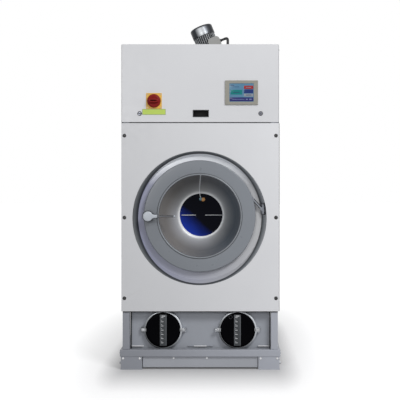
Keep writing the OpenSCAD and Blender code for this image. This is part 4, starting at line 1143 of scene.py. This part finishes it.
def ledge_highlight_lips():
    """Bright lips on the ledges of the recessed panel, white as a painted highlight."""
    p = Piece()
    for x in ((-426, -352), (-40, 38), (358, 426)):
        p.block(x, (46.5, 49.9), (133.6, 138.4), highlight_white, 0.6)
    p.done("ledge_highlight_lips", "cabinet", "base_paint")


# ---- Fan motor ----

def fan_cowl():
    """The cowl with a slotted grille and three screws in its side."""
    # The lathe turns round Y, and the fan's axis is its Z.
    axis = fan_frame @ Matrix.Rotation(pi / 2, 4, "X")
    top, bend, slots, screws = 68, 14, 24, 3
    p = Piece()
    rim = [(0, 0.0), (77.4, 0.0), (COWL_R, 1.6), (COWL_R, 6), (78.2, 7), (COWL_R, 8)]
    rim += arc(COWL_R - bend, top - bend, bend, 0, 90, 10)[1:]
    rim += [(52, top), (51, 66.4), (20, 66.4), (19, top), (0, top)]
    p.lathe(rim, cowl_painted_sheen, matrix=axis)
    for k in range(slots):
        spin = axis @ Matrix.Rotation(radians(360 * k / slots), 4, "Y")
        p.block((20.5, 50.5), (66.2, 67.9), (-1.5, 1.5), cowl_painted_sheen, 0.5, matrix=spin)
    for k in range(screws):
        spin = axis @ Matrix.Rotation(radians(360 * k / screws + 30), 4, "Y")
        side = spin @ Matrix.Translation((COWL_R * MM, 9 * MM, 0)) @ Matrix.Rotation(pi / 2, 4, "Z")
        p.lathe([(0, -1.6), (2.4, -1.5), (3.4, -0.4), (3.4, 1), (0, 1)], zinc, turns=20,
                matrix=side)
    p.done("fan_cowl_detail", "cabinet", "cowl_steel", "fan_cowl")


def evenly(points, steps):
    """Points at even distances along a line, and the line's length."""
    reached = [0.0]
    for p, q in zip(points, points[1:]):
        reached.append(reached[-1] + (q - p).length)
    line, k = [], 0
    for i in range(steps + 1):
        want = reached[-1] * i / steps
        while k < len(points) - 2 and reached[k + 1] <= want + 1e-9:
            k += 1
        share = (want - reached[k]) / (reached[k + 1] - reached[k])
        line.append(points[k].lerp(points[k + 1], share))
    return line, reached[-1]


def conduit():
    """The ribbed conduit, on the route that its CAD solid follows."""
    outer_r, rib_h, ribs, rib_steps = 9.0, 1.7, 42, 6
    straight, push, rise = 2 * outer_r * MM, 40 * MM, 85 * MM
    start = fan_frame @ (Vector((96, -100, -85)) * MM)
    end = place(166, 440, TOP_Z + 12)
    along = fan_frame.to_3x3() @ Vector((1, 0, 0))
    up = Vector((0, 0, 1))
    a = start + along * straight
    b = start + along * (straight + push)
    c = end + up * (straight + rise)
    d = end + up * straight
    points = [start + along * straight * i / 6 for i in range(6)]
    for t in (i / 80 for i in range(81)):
        points.append((1 - t) ** 3 * a + 3 * (1 - t) ** 2 * t * b + 3 * (1 - t) * t * t * c
                      + t ** 3 * d)
    points += [d - up * straight * i / 6 for i in range(1, 7)]
    line, length = evenly(points, ribs * rib_steps)
    radii = [outer_r - rib_h / 2 + rib_h / 2 * cos(2 * pi * (i / rib_steps + 0.5))
             for i in range(len(line))]
    tube = Piece()
    tube.rod(line, radii, hose_plastic, sides=24)
    obj = tube.done("motor_conduit_ribbed", "cabinet", "black_plastic", "motor_conduit", angle=60)


screen_page()
main_switch()
switch_plate_trim()
label_trim()
lock("left")
lock("right")
pull_trim()
panel_screws()
shell_screws()
door_funnel()
funnel_seam()
door_disc()
glass_bars()
spray_nozzle()
door_lever()
hinge_arm_shade_lines()
for cover_side in SIDES:
    tank_lid(cover_side)
    level_window(cover_side)
    cover_knob(cover_side)
    if cover_side == "right":
        lid_mark()
    neck_ring(cover_side)
base_bolts()
gap_shade_strips()
ledge_highlight_lips()
fan_cowl()
conduit()
